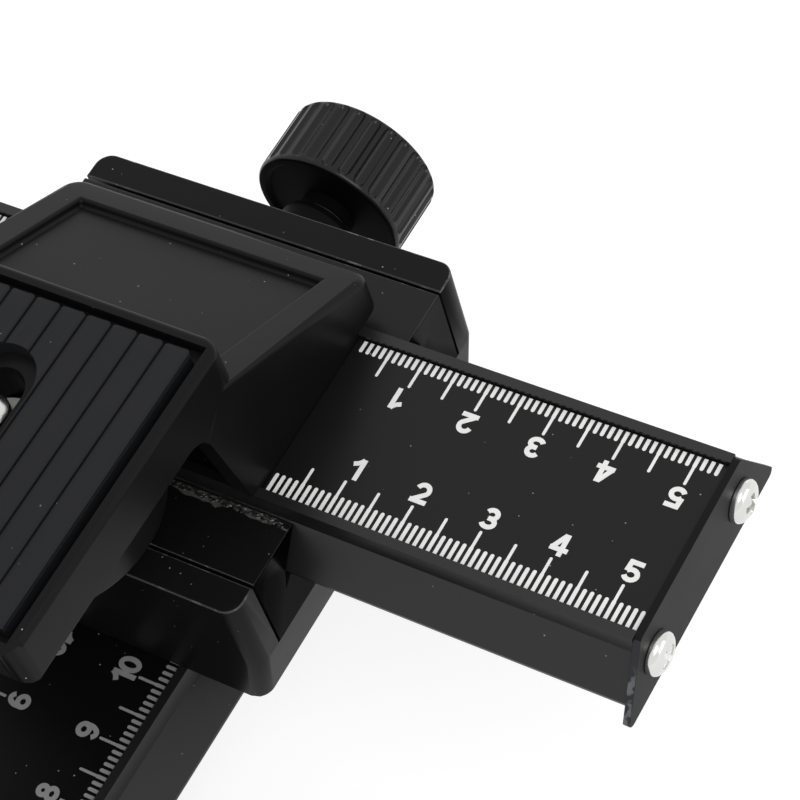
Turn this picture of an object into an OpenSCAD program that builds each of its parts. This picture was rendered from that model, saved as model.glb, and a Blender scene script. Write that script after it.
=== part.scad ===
// Four-way macro focusing rail: two crossed dovetail slides, each moved by a
// rack and pinion, with a tripod thread below and a camera platform on top.
// X runs along the upper rail, Y along the lower rail, Z up.
// The origin is on the underside of the base, on the tripod thread's axis.

/* [Dovetail rail] */
// Length of a rail without its end plates
rail_len = 158; // [130:1:190]
// Width over the two rims on top of a rail
rail_top_w = 28.4; // [26:0.1:34]
// Width of a rail across its foot
rail_foot_w = 37.2; // [34:0.1:42]
// Height of a rail from its foot to the rims
rail_h = 9.1; // [8:0.1:11]
// Depth of the upright lip below the rims
lip_h = 3.3; // [2.6:0.1:4]
// Height of the upright edge at the foot
foot_edge_h = 0.5; // [0.3:0.1:1]
// Width of each rim beside the scale plate
rim_w = 1.4; // [1:0.1:2.4]
// Height of the rims above the scale plate
rim_h = 0.7; // [0.3:0.1:1.2]
// Thickness of the scale plates
scale_t = 0.6; // [0.4:0.1:1]
// Thickness of the end plates
end_plate_t = 1; // [0.8:0.1:2]
// How far the end plates reach below the foot of the rail
end_plate_drop = 2.9; // [2.5:0.1:4]
// How far the end plates widen beyond the foot of the rail, on each side
end_plate_flare = 2.1; // [1:0.1:3]
// Distance between the two screws of an end plate
end_screw_gap = 23.4; // [18:0.1:26]
// Height of the end plate screws above the foot of the rail
end_screw_up = 2.8; // [2.6:0.1:5]

/* [Rack and pinion] */
// Module of the teeth
gear_module = 0.8; // [0.6:0.05:1]
// Number of teeth on the pinion
pinion_teeth = 12; // [11:1:15]
// Pressure angle of the teeth
pressure_angle = 25; // [25:1:28]
// Width of the rack and of the pinion's teeth
gear_face_w = 8; // [5:0.5:9]
// Play between the teeth, on the pitch line
backlash = 0.16; // [0.1:0.01:0.3]
// Thickness of the rack's bar behind the teeth
rack_bar_t = 2; // [1.5:0.1:3]
// Depth of the rack's seat in the foot of the rail
rack_seat = 1.3; // [1:0.1:1.6]
// Radius of the pinion shaft
shaft_r = 2.5; // [2:0.05:2.9]
// Running clearance of the shaft in its bushes
shaft_play = 0.05; // [0.03:0.01:0.1]

/* [Carriage] */
// Length of a carriage along its rail
carriage_len = 59.4; // [50:0.1:72]
// Width of a carriage across its rail
carriage_w = 58.8; // [54:0.1:72]
// Height of a carriage
carriage_h = 24.5; // [23.5:0.1:30]
// Drop from the scale plate's face to the top of the carriage walls
wall_drop = 2.7; // [2.2:0.1:3.5]
// Width of the dovetail guide that lies in the carriage
guide_w = 48.6; // [46:0.1:50]
// Height of the dovetail guide
guide_h = 14.3; // [13.5:0.1:17]
// Gap between the dovetail guide and the carriage walls
guide_gap = 0.45; // [0.1:0.05:0.6]
// Sliding clearance between rail and guide
slide_play = 0.15; // [0.1:0.05:0.3]
// Draft of the carriage ends beside the guide
guide_draft = 0.3; // [0:0.1:2]
// Draft of the carriage ends below the guide
floor_draft = 2.4; // [0:0.1:3]
// Radius of the carriage's upright corners
carriage_corner = 2.4; // [1:0.1:4]

/* [Adjusting knobs] */
// Radius of an adjusting knob over its ribs
knob_r = 11.4; // [9:0.1:14]
// Length of an adjusting knob
knob_len = 11.5; // [8:0.1:16]
// Number of ribs on an adjusting knob
knob_ribs = 40; // [24:1:60]
// Depth of the ribs
rib_depth = 0.35; // [0.2:0.05:0.6]
// Space between the carriage and an adjusting knob
knob_standoff = 8.9; // [8:0.1:12]
// Radius of the boss round an adjusting knob's shaft
boss_r = 5.6; // [5.4:0.1:8]
// Height of that boss
boss_h = 5.8; // [4:0.1:6.5]

/* [Lock knobs] */
// Radius of a lock knob
lock_r = 6.5; // [5:0.1:8]
// Length of a lock knob
lock_len = 9; // [6:0.1:14]
// Radius of a lock screw
lock_screw_r = 2.5; // [2:0.1:3]
// Distance of a lock screw from the middle of its carriage
lock_offset = 17; // [12:0.5:20]
// Travel of the pad between free and locked
lock_travel = 0.4; // [0.2:0.05:0.6]

/* [Camera platform] */
// Width of the camera platform along the upper rail
plat_w = 49; // [46:0.1:56]
// Height of the platform's lip above the scale plates
plat_h = 26.4; // [24:0.1:32]
// Thickness of the platform's overhanging plate
plat_t = 7.8; // [7:0.1:10]
// Reach of the overhang in front of the middle of the upper rail
nose_y = 55.3; // [50:0.1:66]
// Reach of the raised pad block, in front of the middle of the rail
block_y = 8; // [5:0.1:12]
// Height of the step between the pad block and the sloping face
block_step = 6.9; // [4:0.1:8]
// Reach of the sloping face behind the middle of the upper rail
toe_y = 19; // [17:0.1:24]
// Height of the upright edge at the foot of the sloping face
toe_h = 5.3; // [4:0.1:7]
// Thickness of the platform's walls
plat_wall = 3; // [2:0.1:4]
// Width of the platform's lip round the rubber pad
lip_w = 1.6; // [1:0.1:2.4]
// Gap between the lip and the rubber pad
pad_gap = 1.3; // [0.6:0.1:2]
// Depth of the seat of the rubber pad
pad_seat = 1.9; // [1:0.1:2.6]
// Height of the pad's ribs above the lip
pad_proud = 0.4; // [0:0.1:1]
// Number of ribs on the rubber pad
pad_ribs = 11; // [6:1:12]
// Border beside and below the bare panel on the sloping face
panel_border = 4.8; // [3:0.1:6]
// Border between the bare panel and the pad block
panel_top_border = 1.7; // [1:0.1:3]
// Depth of the bare panel
panel_depth = 1.2; // [0.5:0.1:1.8]

/* [Camera screw] */
// Radius of the camera screw
camera_screw_r = 3.17; // [2.5:0.01:3.5]
// Length of the screw above its knob
camera_screw_len = 14; // [10:0.5:15]
// Radius of the camera screw's knob
camera_knob_r = 16.8; // [12:0.1:18]
// Height of the camera screw's knob
camera_knob_h = 9.4; // [6:0.1:10]
// Clearance of the camera screw in its slot
slot_play = 0.25; // [0.1:0.05:0.5]
// Front end of the screw's travel, from the middle of the upper rail
slot_front = 42.3; // [38:0.1:46]
// Rear end of the screw's travel, from the middle of the upper rail
slot_rear = 23.7; // [22.5:0.1:26]
// Place of the screw at rest, from the middle of the upper rail
screw_rest = 27; // [26:0.5:36]

/* [Tripod sockets] */
// Radius of the middle socket, in its bush
socket_r = 3.17; // [2.5:0.01:3.5]
// Radius of the bush's outside and of the second socket
large_socket_r = 4.76; // [4:0.01:5.5]
// Depth of the bush
socket_depth = 5.2; // [4.5:0.1:6]
// Distance of the second socket from the first
socket_gap = 18; // [16:0.5:20]

/* [Fasteners] */
// Clearance of a screw in its hole
screw_play = 0.06; // [0.04:0.01:0.15]
// Radius of the end plate screws
end_screw_r = 1.25; // [1:0.05:1.5]
// Radius of the end plate screws' heads
end_head_r = 3; // [2:0.1:3.5]
// Radius of the screws that hold the cross carriage and the platform
frame_screw_r = 1.5; // [1.2:0.05:2]
// Radius of those screws' heads
frame_head_r = 2.8; // [2.2:0.1:3.2]

/* [Placing] */
// Middle of the cross carriage, forward of the middle of the lower rail
cross_offset = 57.9; // [50:0.1:64]
// Whole rack teeth that the lower rail stands forward at rest
rest_teeth = 10; // [0:1:12]

/* [Hidden] */
$fn = 64;
step = 0.02;
cut = 1;
// The local frame of a slide has its rail along X and its scale face at Z 0.
lip_z = rim_h - lip_h;
foot_z = rim_h - rail_h;
edge_z = foot_z + foot_edge_h;
top_half = rail_top_w / 2;
foot_half = rail_foot_w / 2;
wall_top = -wall_drop;
carriage_floor = wall_top - carriage_h;
guide_bottom = wall_top - guide_h;
pitch = PI * gear_module;
pitch_r = gear_module * pinion_teeth / 2;
tip_r = pitch_r + gear_module;
root_r = pitch_r - 1.25 * gear_module;
base_r = pitch_r * cos(pressure_angle);
rack_top = foot_z + rack_seat;
rack_root = rack_top - rack_bar_t;
rack_pitch_z = rack_root - 1.25 * gear_module;
rack_tip = rack_pitch_z - gear_module;
shaft_z = rack_pitch_z - pitch_r;
plate_bottom = foot_z - end_plate_drop;
plate_foot_half = foot_half + end_plate_flare;
plate_screw_z = foot_z + end_screw_up;
// Dovetail flank: how far it goes out for each millimetre down
flank = (foot_half - top_half) / (lip_z - edge_z);
flank_angle = atan(flank);
cavity_half = top_half + 2 * slide_play;
cavity_foot_half = foot_half + 2 * slide_play;
cavity_floor = foot_z - slide_play;
channel_half = gear_face_w / 2 + 1.2;
relief = 2.2;
half_w = carriage_w / 2;
half_len = carriage_len / 2;
pocket_half = guide_w / 2 + guide_gap;
wall_t = half_w - pocket_half;
knob_y = half_w + knob_standoff;
bush_r = shaft_r + 1.6;
bush_flange_r = bush_r + 1.1;
bush_flange_t = 1;
bush_end = half_w + boss_h;
end_bush_len = wall_t * 0.6;
end_seat = 0.2;
ring_t = 0.6;
ring_y = bush_end + bush_flange_t + 0.1;
hub_y = ring_y + ring_t + 0.1;
hub_r = 5;
grub_r = 1.25;
grub_len = 5;
grub_depth = 4.2;
// A lock screw meets the middle of the rail's flank.
lock_z = (lip_z + edge_z) / 2 - 1.2;
flank_half = top_half + (lip_z - lock_z) * flank;
lock_pad_r = lock_screw_r + 0.3;
lock_bore_play = 0.08;
lock_tip = pocket_half - 1.2;
pad_tail = lock_tip - 0.1;
lock_gap = 1.2;
scale_floor = -scale_t;
scale_half = top_half - rim_w;
scale_play = 0.1;
lower_z = -carriage_floor;
upper_z = lower_z + rim_h - carriage_floor;
lower_y = rest_teeth * pitch;
upper_y = lower_y + cross_offset;
plat_half = plat_w / 2;
plat_under = plat_h - plat_t;
inner_half = plat_half - plat_wall;
upper_scale_half = (rail_len / 2 - plat_half) / 2 - scale_play;
// The slope of the sloping face, as a drop for each millimetre back
slope_top = plat_h - block_step;
toe_top = rim_h + toe_h;
slope = (slope_top - toe_top) / (block_y + toe_y);
slope_angle = atan(slope);
slope_len = norm([block_y + toe_y, slope_top - toe_top]);
slope_inside = slope_top - plat_wall / cos(slope_angle);
leg_y = 14.4;
leg_lean = 2.1;
leg_fillet = 3.6;
boss_x = inner_half - 2.2;
boss_front_y = 8.6;
plat_boss_r = 3.4;
pad_x = plat_half - lip_w - pad_gap;
pad_front = nose_y - lip_w - pad_gap;
pad_back = block_y + lip_w + pad_gap;
pad_floor = plat_h - pad_seat;
pad_top = plat_h + pad_proud;
slot_half = camera_screw_r + slot_play;
pad_slot_half = slot_half + 2.2;
knob_drop = 1.2;
camera_knob_bottom = rim_h + knob_drop;
camera_knob_top = camera_knob_bottom + camera_knob_h;
washer_t = 1;
washer_r = slot_half + 2.6;
washer_top = plat_under - 0.15;
thrust_t = 0.6;
thrust_r = camera_screw_r + 3.5;
thrust_z = camera_knob_top + 0.02;
guide_screw_x = half_len - floor_draft - guide_draft - 6;
guide_screw_y = guide_w / 2 - 6;
// The pinion's pocket in the floor of a carriage, and the bush below it
pocket_floor = shaft_z - tip_r - 0.8;
bush_len = min(socket_depth, pocket_floor - carriage_floor - 0.3);
cross_screw_x = 11.5;
cross_screw_y = half_len - 18.5;
head_h = 2;
head_recess = 0.3;
screw_bite = 5;
rack_screw_r = 0.9;
rack_head_r = 1.8;
rack_head_h = 1;
rack_screw_gap = rail_len / 2 - 18;

// ---- Helpers -------------------------------------------------------------

// Extrudes a Y-Z outline along X, centred.
module along_x(len) {
    rotate([90, 0, 90]) linear_extrude(len, center = true) children();
}

// Extrudes an X-Z outline along Y, centred.
module along_y(len) {
    rotate([90, 0, 0]) linear_extrude(len, center = true) children();
}

// A rod along +Y from y0 to y1.
module rod_y(r, y0, y1) {
    translate([0, y0, 0]) rotate([-90, 0, 0]) cylinder(r = r, h = y1 - y0);
}

// A rod along +X from x0 to x1.
module rod_x(r, x0, x1) {
    translate([x0, 0, 0]) rotate([0, 90, 0]) cylinder(r = r, h = x1 - x0);
}

// A block given by its lowest and highest corners.
module block(low, high) {
    translate(low) cube(high - low);
}

// A rectangle with round corners.
module round_rect(w, d, r) {
    square([w - 2 * r, d], center = true);
    square([w, d - 2 * r], center = true);
    for (x = [-1, 1], y = [-1, 1])
        translate([x * (w / 2 - r), y * (d / 2 - r)]) circle(r);
}

// Repeats its children at the four corners of a rectangle.
module four(x, y) {
    for (sx = [-1, 1], sy = [-1, 1])
        translate([sx * x, sy * y, 0]) children();
}

// Points of an arc from angle a0 to angle a1.
function arc(c, r, a0, a1, n = 6) =
    [for (i = [0 : n]) c + r * [cos(a0 + (a1 - a0) * i / n), sin(a0 + (a1 - a0) * i / n)]];

// A list of points and its mirror image in the second axis, as one outline.
function mirrored(half) =
    concat(half, [for (i = [len(half) - 1 : -1 : 0]) [-half[i][0], half[i][1]]]);

// Places of the two slides.
module at_lower(y = 0) {
    translate([0, y, lower_z]) rotate([0, 0, -90]) children();
}
module at_upper(y = upper_y) {
    translate([0, y, upper_z]) children();
}

// ---- Rails ---------------------------------------------------------------

// Dovetail section with the recess of the scale plate and the rack's seat.
module rail_section() {
    polygon(mirrored([
        [scale_half, scale_floor], [scale_half, rim_h], [top_half, rim_h], [top_half, lip_z],
        [foot_half, edge_z], [foot_half, foot_z], [gear_face_w / 2 + step, foot_z],
        [gear_face_w / 2 + step, rack_top + step]
    ]));
}

// The rail with the threaded holes of its end plates and the rack's screws.
module rail() {
    difference() {
        along_x(rail_len) rail_section();
        for (x = [-1, 1], y = [-1, 1])
            translate([x * rail_len / 2, y * end_screw_gap / 2, plate_screw_z])
                rod_x(end_screw_r + screw_play, -screw_bite - cut, screw_bite + cut);
        for (x = [-1, 0, 1])
            translate([x * rack_screw_gap, 0, 0]) {
                translate([0, 0, foot_z]) cylinder(r = rack_screw_r + screw_play, h = rail_h);
                translate([0, 0, scale_floor - rack_head_h - screw_play])
                    cylinder(r = rack_head_r + screw_play, h = rail_h);
            }
    }
}

// The rack: a bar with straight-sided teeth that point down.
module rack() {
    count = floor((rail_len / 2 - pitch / 2) / pitch);
    quarter = pitch / 4 - backlash / 4;
    tip_half = quarter - gear_module * tan(pressure_angle);
    root_half = quarter + 1.25 * gear_module * tan(pressure_angle);
    difference() {
        rotate([90, 0, 0]) linear_extrude(gear_face_w, center = true) polygon(concat(
            [[rail_len / 2, rack_top], [-rail_len / 2, rack_top], [-rail_len / 2, rack_root]],
            [for (i = [-count : count], k = [0 : 3])
                [i * pitch + [-root_half, -tip_half, tip_half, root_half][k],
                 [rack_root, rack_tip, rack_tip, rack_root][k]]],
            [[rail_len / 2, rack_root]]
        ));
        for (x = [-1, 0, 1])
            translate([x * rack_screw_gap, 0, rack_root + 0.4])
                cylinder(r = rack_screw_r + screw_play, h = rail_h);
    }
}

// The three countersunk screws that hold the rack, from the top of the rail.
module rack_screws() {
    for (x = [-1, 0, 1])
        translate([x * rack_screw_gap, 0, 0]) {
            translate([0, 0, rack_root + 0.5])
                cylinder(r = rack_screw_r, h = scale_floor - rack_head_h - rack_root - 0.5);
            difference() {
                translate([0, 0, scale_floor - rack_head_h])
                    cylinder(r = rack_head_r, h = rack_head_h);
                block([-1.4, -0.2, scale_floor - 0.4], [1.4, 0.2, scale_floor + cut]);
            }
        }
}

// An end plate on the +X end of a rail: the rail's outline, with longer flanks.
module end_plate() {
    r = 1;
    drop = rim_h - plate_bottom;
    lean = (plate_foot_half - top_half) / drop;
    difference() {
        translate([rail_len / 2 + end_plate_t / 2, 0, 0]) along_x(end_plate_t)
            polygon(mirrored(concat(
                arc([top_half - r, rim_h - r], r, 90, 90 - atan(1 / lean), 3),
                arc([plate_foot_half - lean * r - r, plate_bottom + r], r, 0, -90, 4)
            )));
        for (y = [-1, 1])
            translate([rail_len / 2, y * end_screw_gap / 2, plate_screw_z])
                rod_x(end_screw_r + screw_play, -cut, end_plate_t + cut);
    }
}

// The two pan-head cross-slot screws of the end plate on the +X end.
module end_screws() {
    dome = 1.5;
    for (y = [-1, 1])
        translate([rail_len / 2 + end_plate_t, y * end_screw_gap / 2, plate_screw_z])
            difference() {
                union() {
                    rod_x(end_screw_r, -screw_bite - end_plate_t + 0.2, step);
                    rotate([0, 90, 0]) rotate_extrude() polygon(concat(
                        [[0, 0], [end_head_r, 0]],
                        arc([end_head_r - dome, dome * 0.4], dome, 0, 90, 5),
                        [[0, dome * 1.4 + 0.1]]
                    ));
                }
                for (a = [0, 90])
                    rotate([a, 0, 0]) block([0.9, -1.7, -0.35], [4, 1.7, 0.35]);
            }
}

// ---- Pinion, shaft, bushes and knob -------------------------------------

// A point of the involute, at the radius r of the pinion.
function roll(r) = sqrt(max(0, pow(r / base_r, 2) - 1));
function involute(r) = roll(r) * 180 / PI - atan(roll(r));

// Half the angle that a tooth takes up at the radius r.
tooth_half = (pitch / 2 - backlash / 2) / 2 / pitch_r * 180 / PI;
function half_angle(r) = tooth_half + involute(pitch_r) - involute(max(r, base_r));

// One side of a tooth, from the root to the tip.
flank_r = concat([root_r], [for (i = [0 : 4]) base_r + (tip_r - base_r) * i / 4]);

module pinion_section() {
    polygon([
        for (t = [0 : pinion_teeth - 1], s = [0 : 2 * len(flank_r) - 1])
            let (i = s < len(flank_r) ? s : 2 * len(flank_r) - 1 - s,
                 side = s < len(flank_r) ? -1 : 1,
                 a = (t + 0.5) * 360 / pinion_teeth + side * half_angle(flank_r[i]) + 90)
            flank_r[i] * [cos(a), sin(a)]
    ]);
}

// The shaft with its pinion cut on it. A gap between teeth stands at the top.
module pinion() {
    translate([0, 0, shaft_z]) difference() {
        union() {
            rod_y(shaft_r, -half_w + wall_t - end_bush_len + 0.3, knob_y + knob_len - 3.5);
            rotate([90, 0, 0]) linear_extrude(gear_face_w, center = true) pinion_section();
        }
        translate([0, ring_y - 0.05, 0]) difference() {
            rod_y(shaft_r + cut, 0, ring_t + 0.1);
            rod_y(shaft_r - 0.5, -cut, ring_t + cut);
        }
    }
}

// The flanged bush in the boss of the carriage.
module bush() {
    translate([0, 0, shaft_z]) difference() {
        union() {
            rod_y(bush_r, pocket_half + 0.1, bush_end + step);
            rod_y(bush_flange_r, bush_end, bush_end + bush_flange_t);
        }
        rod_y(shaft_r + shaft_play, 0, knob_y);
    }
}

// The plain bush in the blind seat of the opposite wall.
module end_bush() {
    translate([0, 0, shaft_z]) difference() {
        rod_y(bush_r, -pocket_half - end_bush_len, -pocket_half - 0.1);
        rod_y(shaft_r + shaft_play, -half_w, 0);
    }
}

// The clip in the shaft's groove that keeps the pinion from moving sideways.
module shaft_ring() {
    translate([0, ring_y, shaft_z]) difference() {
        rod_y(shaft_r + 1.6, 0, ring_t);
        rod_y(shaft_r - 0.45, -cut, ring_t + cut);
        block([-1.6, -cut, -shaft_r - 3], [1.6, ring_t + cut, 0]);
    }
}

// Outline with shallow ribs, drawn as a many-pointed star.
module ribbed(r, depth, ribs) {
    polygon([
        for (i = [0 : ribs - 1], k = [0 : 3])
            let (a = (i + [0, 0.18, 0.5, 0.68][k]) * 360 / ribs)
            (r - [depth, 0, 0, depth][k]) * [cos(a), sin(a)]
    ]);
}

// An adjusting knob: a ribbed skirt on a core with rounded edges, a dished face and a short hub.
module adjusting_knob() {
    core_r = knob_r - rib_depth;
    edge_r = 1.3;
    dish = 0.5;
    dish_r = core_r - edge_r - dish;
    translate([0, knob_y, shaft_z]) rotate([-90, 0, 0]) difference() {
        union() {
            rotate_extrude($fn = 96) polygon(concat(
                [[hub_r, dish], [dish_r - dish, dish], [dish_r, 0]],
                arc([core_r - edge_r, edge_r], edge_r, -90, 0, 5),
                arc([core_r - edge_r, knob_len - edge_r], edge_r, 0, 90, 5),
                [[0, knob_len], [0, hub_y - knob_y], [hub_r, hub_y - knob_y]]
            ));
            translate([0, 0, edge_r]) linear_extrude(knob_len - 2 * edge_r) difference() {
                ribbed(knob_r, rib_depth, knob_ribs);
                circle(core_r - 0.5, $fn = 96);
            }
        }
        translate([0, 0, hub_y - knob_y - cut])
            cylinder(r = shaft_r + 0.03, h = knob_len - 3.2 - hub_y + knob_y + cut);
        translate([0, 0, grub_depth]) rotate(180) rod_x(grub_r + screw_play, shaft_r, knob_r + cut);
    }
}

// The grub screw that holds an adjusting knob on its shaft.
module knob_screw() {
    translate([0, knob_y, shaft_z]) rotate([-90, 0, 0]) translate([0, 0, grub_depth]) rotate(180)
        difference() {
            rod_x(grub_r, shaft_r + 0.1, shaft_r + 0.1 + grub_len);
            rod_x(0.7, shaft_r + grub_len - 1.2, shaft_r + grub_len + 1);
        }
}

// ---- Lock ----------------------------------------------------------------

// A lock knob with its screw, along +Y, on the front wall of the carriage.
module lock_knob() {
    translate([-lock_offset, -half_w - lock_gap - lock_len, lock_z]) rotate([-90, 0, 0]) {
        difference() {
            union() {
                rotate_extrude() polygon(concat(
                    [[0, 0]],
                    arc([lock_r - 1.2, 1], 1, -90, 0, 4),
                    arc([lock_r - 1.2, lock_len - 1], 1, 0, 90, 4),
                    [[0, lock_len]]
                ));
                translate([0, 0, 1]) linear_extrude(lock_len - 2) difference() {
                    ribbed(lock_r, 0.5, 20);
                    circle(lock_r - 1.2);
                }
                translate([0, 0, lock_len - step]) cylinder(r = lock_screw_r + 1.2, h = 0.8);
            }
            translate([0, 0, -cut]) cylinder(r = lock_r - 2.6, h = 0.8 + cut);
        }
        translate([0, 0, lock_len]) cylinder(r = lock_screw_r, h = half_w + lock_gap - lock_tip);
    }
}

// The brass pad between the lock screw and the flank of the rail.
module lock_pad() {
    face_gap = (lock_travel + 0.15) / cos(flank_angle);
    translate([-lock_offset, 0, lock_z]) difference() {
        rod_y(lock_pad_r, -pad_tail, -foot_half + 3);
        translate([0, -flank_half - face_gap, 0]) rotate([-flank_angle, 0, 0])
            block([-10, 0, -20], [10, 20, 20]);
    }
}

// ---- Carriage ------------------------------------------------------------

// Side view of a carriage: upright beside the guide, drawn in below it.
module carriage_side() {
    polygon(mirrored([
        [half_len, wall_top], [half_len - guide_draft, guide_bottom],
        [half_len - guide_draft - floor_draft, carriage_floor]
    ]));
}

// Cuts the round of one upright corner of a carriage, along its edge between two heights.
module corner_cut(x0, z0, x1, z1) {
    r = carriage_corner;
    extra = 0.2;
    translate([x0, half_w, z0]) rotate([0, atan((x0 - x1) / (z0 - z1)), 0])
        translate([0, 0, -norm([x0 - x1, z0 - z1]) - extra])
            linear_extrude(norm([x0 - x1, z0 - z1]) + 2 * extra) difference() {
                translate([-r, -r]) square(r + 1);
                translate([-r, -r]) circle(r, $fn = 48);
            }
}

// The outer shell: two walls and a floor, with the bosses and holes of the shaft.
module carriage_shell() {
    difference() {
        union() {
            difference() {
                along_y(carriage_w) carriage_side();
                for (x = [0, 1], y = [0, 1]) mirror([x, 0, 0]) mirror([0, y, 0]) {
                    corner_cut(half_len, wall_top, half_len - guide_draft, guide_bottom);
                    corner_cut(half_len - guide_draft, guide_bottom,
                               half_len - guide_draft - floor_draft, carriage_floor);
                }
            }
            translate([0, 0, shaft_z]) rod_y(boss_r, half_w - cut, bush_end);
        }
        block([-half_len - cut, -pocket_half, guide_bottom], [half_len + cut, pocket_half, wall_top + cut]);
        translate([0, 0, shaft_z]) {
            rod_y(bush_r + screw_play, 0, bush_end + cut);
            rod_y(bush_r + screw_play, -pocket_half - end_bush_len - end_seat, 0);
        }
        block([-tip_r - 1, -channel_half, pocket_floor], [tip_r + 1, channel_half, wall_top]);
        translate([-lock_offset, 0, lock_z]) rod_y(lock_screw_r + lock_bore_play, -half_w - cut, 0);
        four(guide_screw_x, guide_screw_y) translate([0, 0, carriage_floor]) {
            translate([0, 0, -cut]) cylinder(r = frame_screw_r + screw_play, h = carriage_h);
            translate([0, 0, -cut]) cylinder(r = frame_head_r + 0.2, h = head_h + head_recess + cut);
        }
    }
}

// The guide that lies in the shell, with the dovetail groove and its reliefs.
module carriage_guide() {
    difference() {
        intersection() {
            block([-half_len, -guide_w / 2, guide_bottom], [half_len, guide_w / 2, wall_top]);
            along_y(carriage_w) carriage_side();
        }
        along_x(carriage_len + 2 * cut) polygon(mirrored([
            [cavity_half, wall_top + cut], [cavity_half, lip_z], [cavity_foot_half, edge_z - step],
            [cavity_foot_half + 1, cavity_floor - relief], [cavity_foot_half - 1.8, cavity_floor],
            [channel_half, cavity_floor], [channel_half, rack_tip - 0.5]
        ]));
        block([-tip_r - 1, -channel_half, guide_bottom - cut], [tip_r + 1, channel_half, foot_z]);
        translate([0, 0, shaft_z]) rod_y(shaft_r + 0.6, -guide_w, guide_w);
        block([-shaft_r - 0.6, -guide_w, guide_bottom - cut], [shaft_r + 0.6, guide_w, shaft_z]);
        translate([-lock_offset, 0, lock_z]) rod_y(lock_pad_r + lock_bore_play, -guide_w, -top_half);
        four(guide_screw_x, guide_screw_y) translate([0, 0, guide_bottom - cut])
            cylinder(r = frame_screw_r + screw_play, h = screw_bite + cut);
    }
}

// The four screws that hold the guide, from under the shell.
module guide_screws() {
    four(guide_screw_x, guide_screw_y) translate([0, 0, carriage_floor + head_recess]) difference() {
        union() {
            cylinder(r = frame_head_r, h = head_h);
            cylinder(r = frame_screw_r, h = guide_bottom + screw_bite - 0.5 - carriage_floor - head_recess);
        }
        translate([0, 0, -cut]) cylinder(r = 1.25, h = 1.2 + cut, $fn = 6);
    }
}

// ---- Nodes of the base ---------------------------------------------------

module base_shell() {
    color("#26272a") difference() {
        at_lower() carriage_shell();
        translate([0, 0, -cut]) cylinder(r = large_socket_r + screw_play, h = bush_len + 0.1 + cut);
        translate([0, -socket_gap, -cut]) cylinder(r = large_socket_r, h = 8 + cut);
    }
}

module base_guide() {
    color("#1d1e20") at_lower() carriage_guide();
}

module base_guide_screws() {
    color("silver") at_lower() guide_screws();
}

module tripod_bush() {
    color("goldenrod") difference() {
        cylinder(r = large_socket_r, h = bush_len);
        translate([0, 0, -cut]) cylinder(r = socket_r, h = bush_len + 2 * cut);
        block([-large_socket_r - cut, -0.5, -cut], [large_socket_r + cut, 0.5, 0.8]);
    }
}

module lower_bush() {
    color("goldenrod") at_lower() bush();
}

module lower_end_bush() {
    color("goldenrod") at_lower() end_bush();
}

module lower_pinion() {
    color("silver") at_lower() pinion();
}

module lower_shaft_ring() {
    color("dimgray") at_lower() shaft_ring();
}

module lower_knob() {
    color("#303136") at_lower() adjusting_knob();
}

module lower_knob_screw() {
    color("dimgray") at_lower() knob_screw();
}

module lower_lock_knob() {
    color("#303136") at_lower() lock_knob();
}

module lower_lock_pad() {
    color("goldenrod") at_lower() lock_pad();
}

// ---- Nodes of the lower rail and the cross carriage ---------------------

// Places a shape at the four screws between lower rail and cross carriage.
module at_cross_screws() {
    translate([0, upper_y, lower_z]) four(cross_screw_x, cross_screw_y) children();
}

module lower_rail() {
    color("#232427") difference() {
        at_lower(lower_y) rail();
        at_cross_screws() {
            translate([0, 0, foot_z - cut]) cylinder(r = frame_screw_r + screw_play, h = rail_h + 2 * cut);
            translate([0, 0, foot_z - cut]) cylinder(r = frame_head_r + 0.2, h = head_h + head_recess + cut);
        }
    }
}

module lower_rack() {
    color("silver") at_lower(lower_y) rack();
}

module lower_rack_screws() {
    color("silver") at_lower(lower_y) rack_screws();
}

module lower_scale_plate() {
    color("#0f1012") difference() {
        translate([0, lower_y, lower_z])
            block([-scale_half + scale_play, -rail_len / 2 + scale_play, scale_floor + step],
                  [scale_half - scale_play, rail_len / 2 - scale_play, 0]);
        at_cross_screws() translate([0, 0, -cut]) cylinder(r = frame_screw_r + 0.3, h = 2 * cut);
    }
}

module lower_front_plate() {
    color("#2c2d30") at_lower(lower_y) end_plate();
}

module lower_rear_plate() {
    color("#2c2d30") at_lower(lower_y) rotate([0, 0, 180]) end_plate();
}

module lower_plate_screws() {
    color("gainsboro") at_lower(lower_y) for (a = [0, 180]) rotate([0, 0, a]) end_screws();
}

module cross_shell() {
    color("#26272a") difference() {
        at_upper() carriage_shell();
        at_cross_screws() translate([0, 0, rim_h - cut])
            cylinder(r = frame_screw_r + screw_play, h = screw_bite + cut);
    }
}

module cross_guide() {
    color("#1d1e20") at_upper() carriage_guide();
}

module cross_guide_screws() {
    color("silver") at_upper() guide_screws();
}

module cross_mount_screws() {
    color("silver") at_cross_screws() translate([0, 0, foot_z + head_recess]) difference() {
        union() {
            cylinder(r = frame_head_r, h = head_h);
            cylinder(r = frame_screw_r, h = rail_h - head_recess + screw_bite - 0.5);
        }
        translate([0, 0, -cut]) cylinder(r = 1.25, h = 1.2 + cut, $fn = 6);
    }
}

module upper_bush() {
    color("goldenrod") at_upper() bush();
}

module upper_end_bush() {
    color("goldenrod") at_upper() end_bush();
}

module upper_pinion() {
    color("silver") at_upper() pinion();
}

module upper_shaft_ring() {
    color("dimgray") at_upper() shaft_ring();
}

module upper_knob() {
    color("#303136") at_upper() adjusting_knob();
}

module upper_knob_screw() {
    color("dimgray") at_upper() knob_screw();
}

module upper_lock_knob() {
    color("#303136") at_upper() lock_knob();
}

module upper_lock_pad() {
    color("goldenrod") at_upper() lock_pad();
}

// ---- Nodes of the upper rail --------------------------------------------

// Places a shape at the four screws between upper rail and platform.
module at_platform_screws() {
    translate([0, upper_y, upper_z]) four(boss_x, boss_front_y) children();
}

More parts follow.
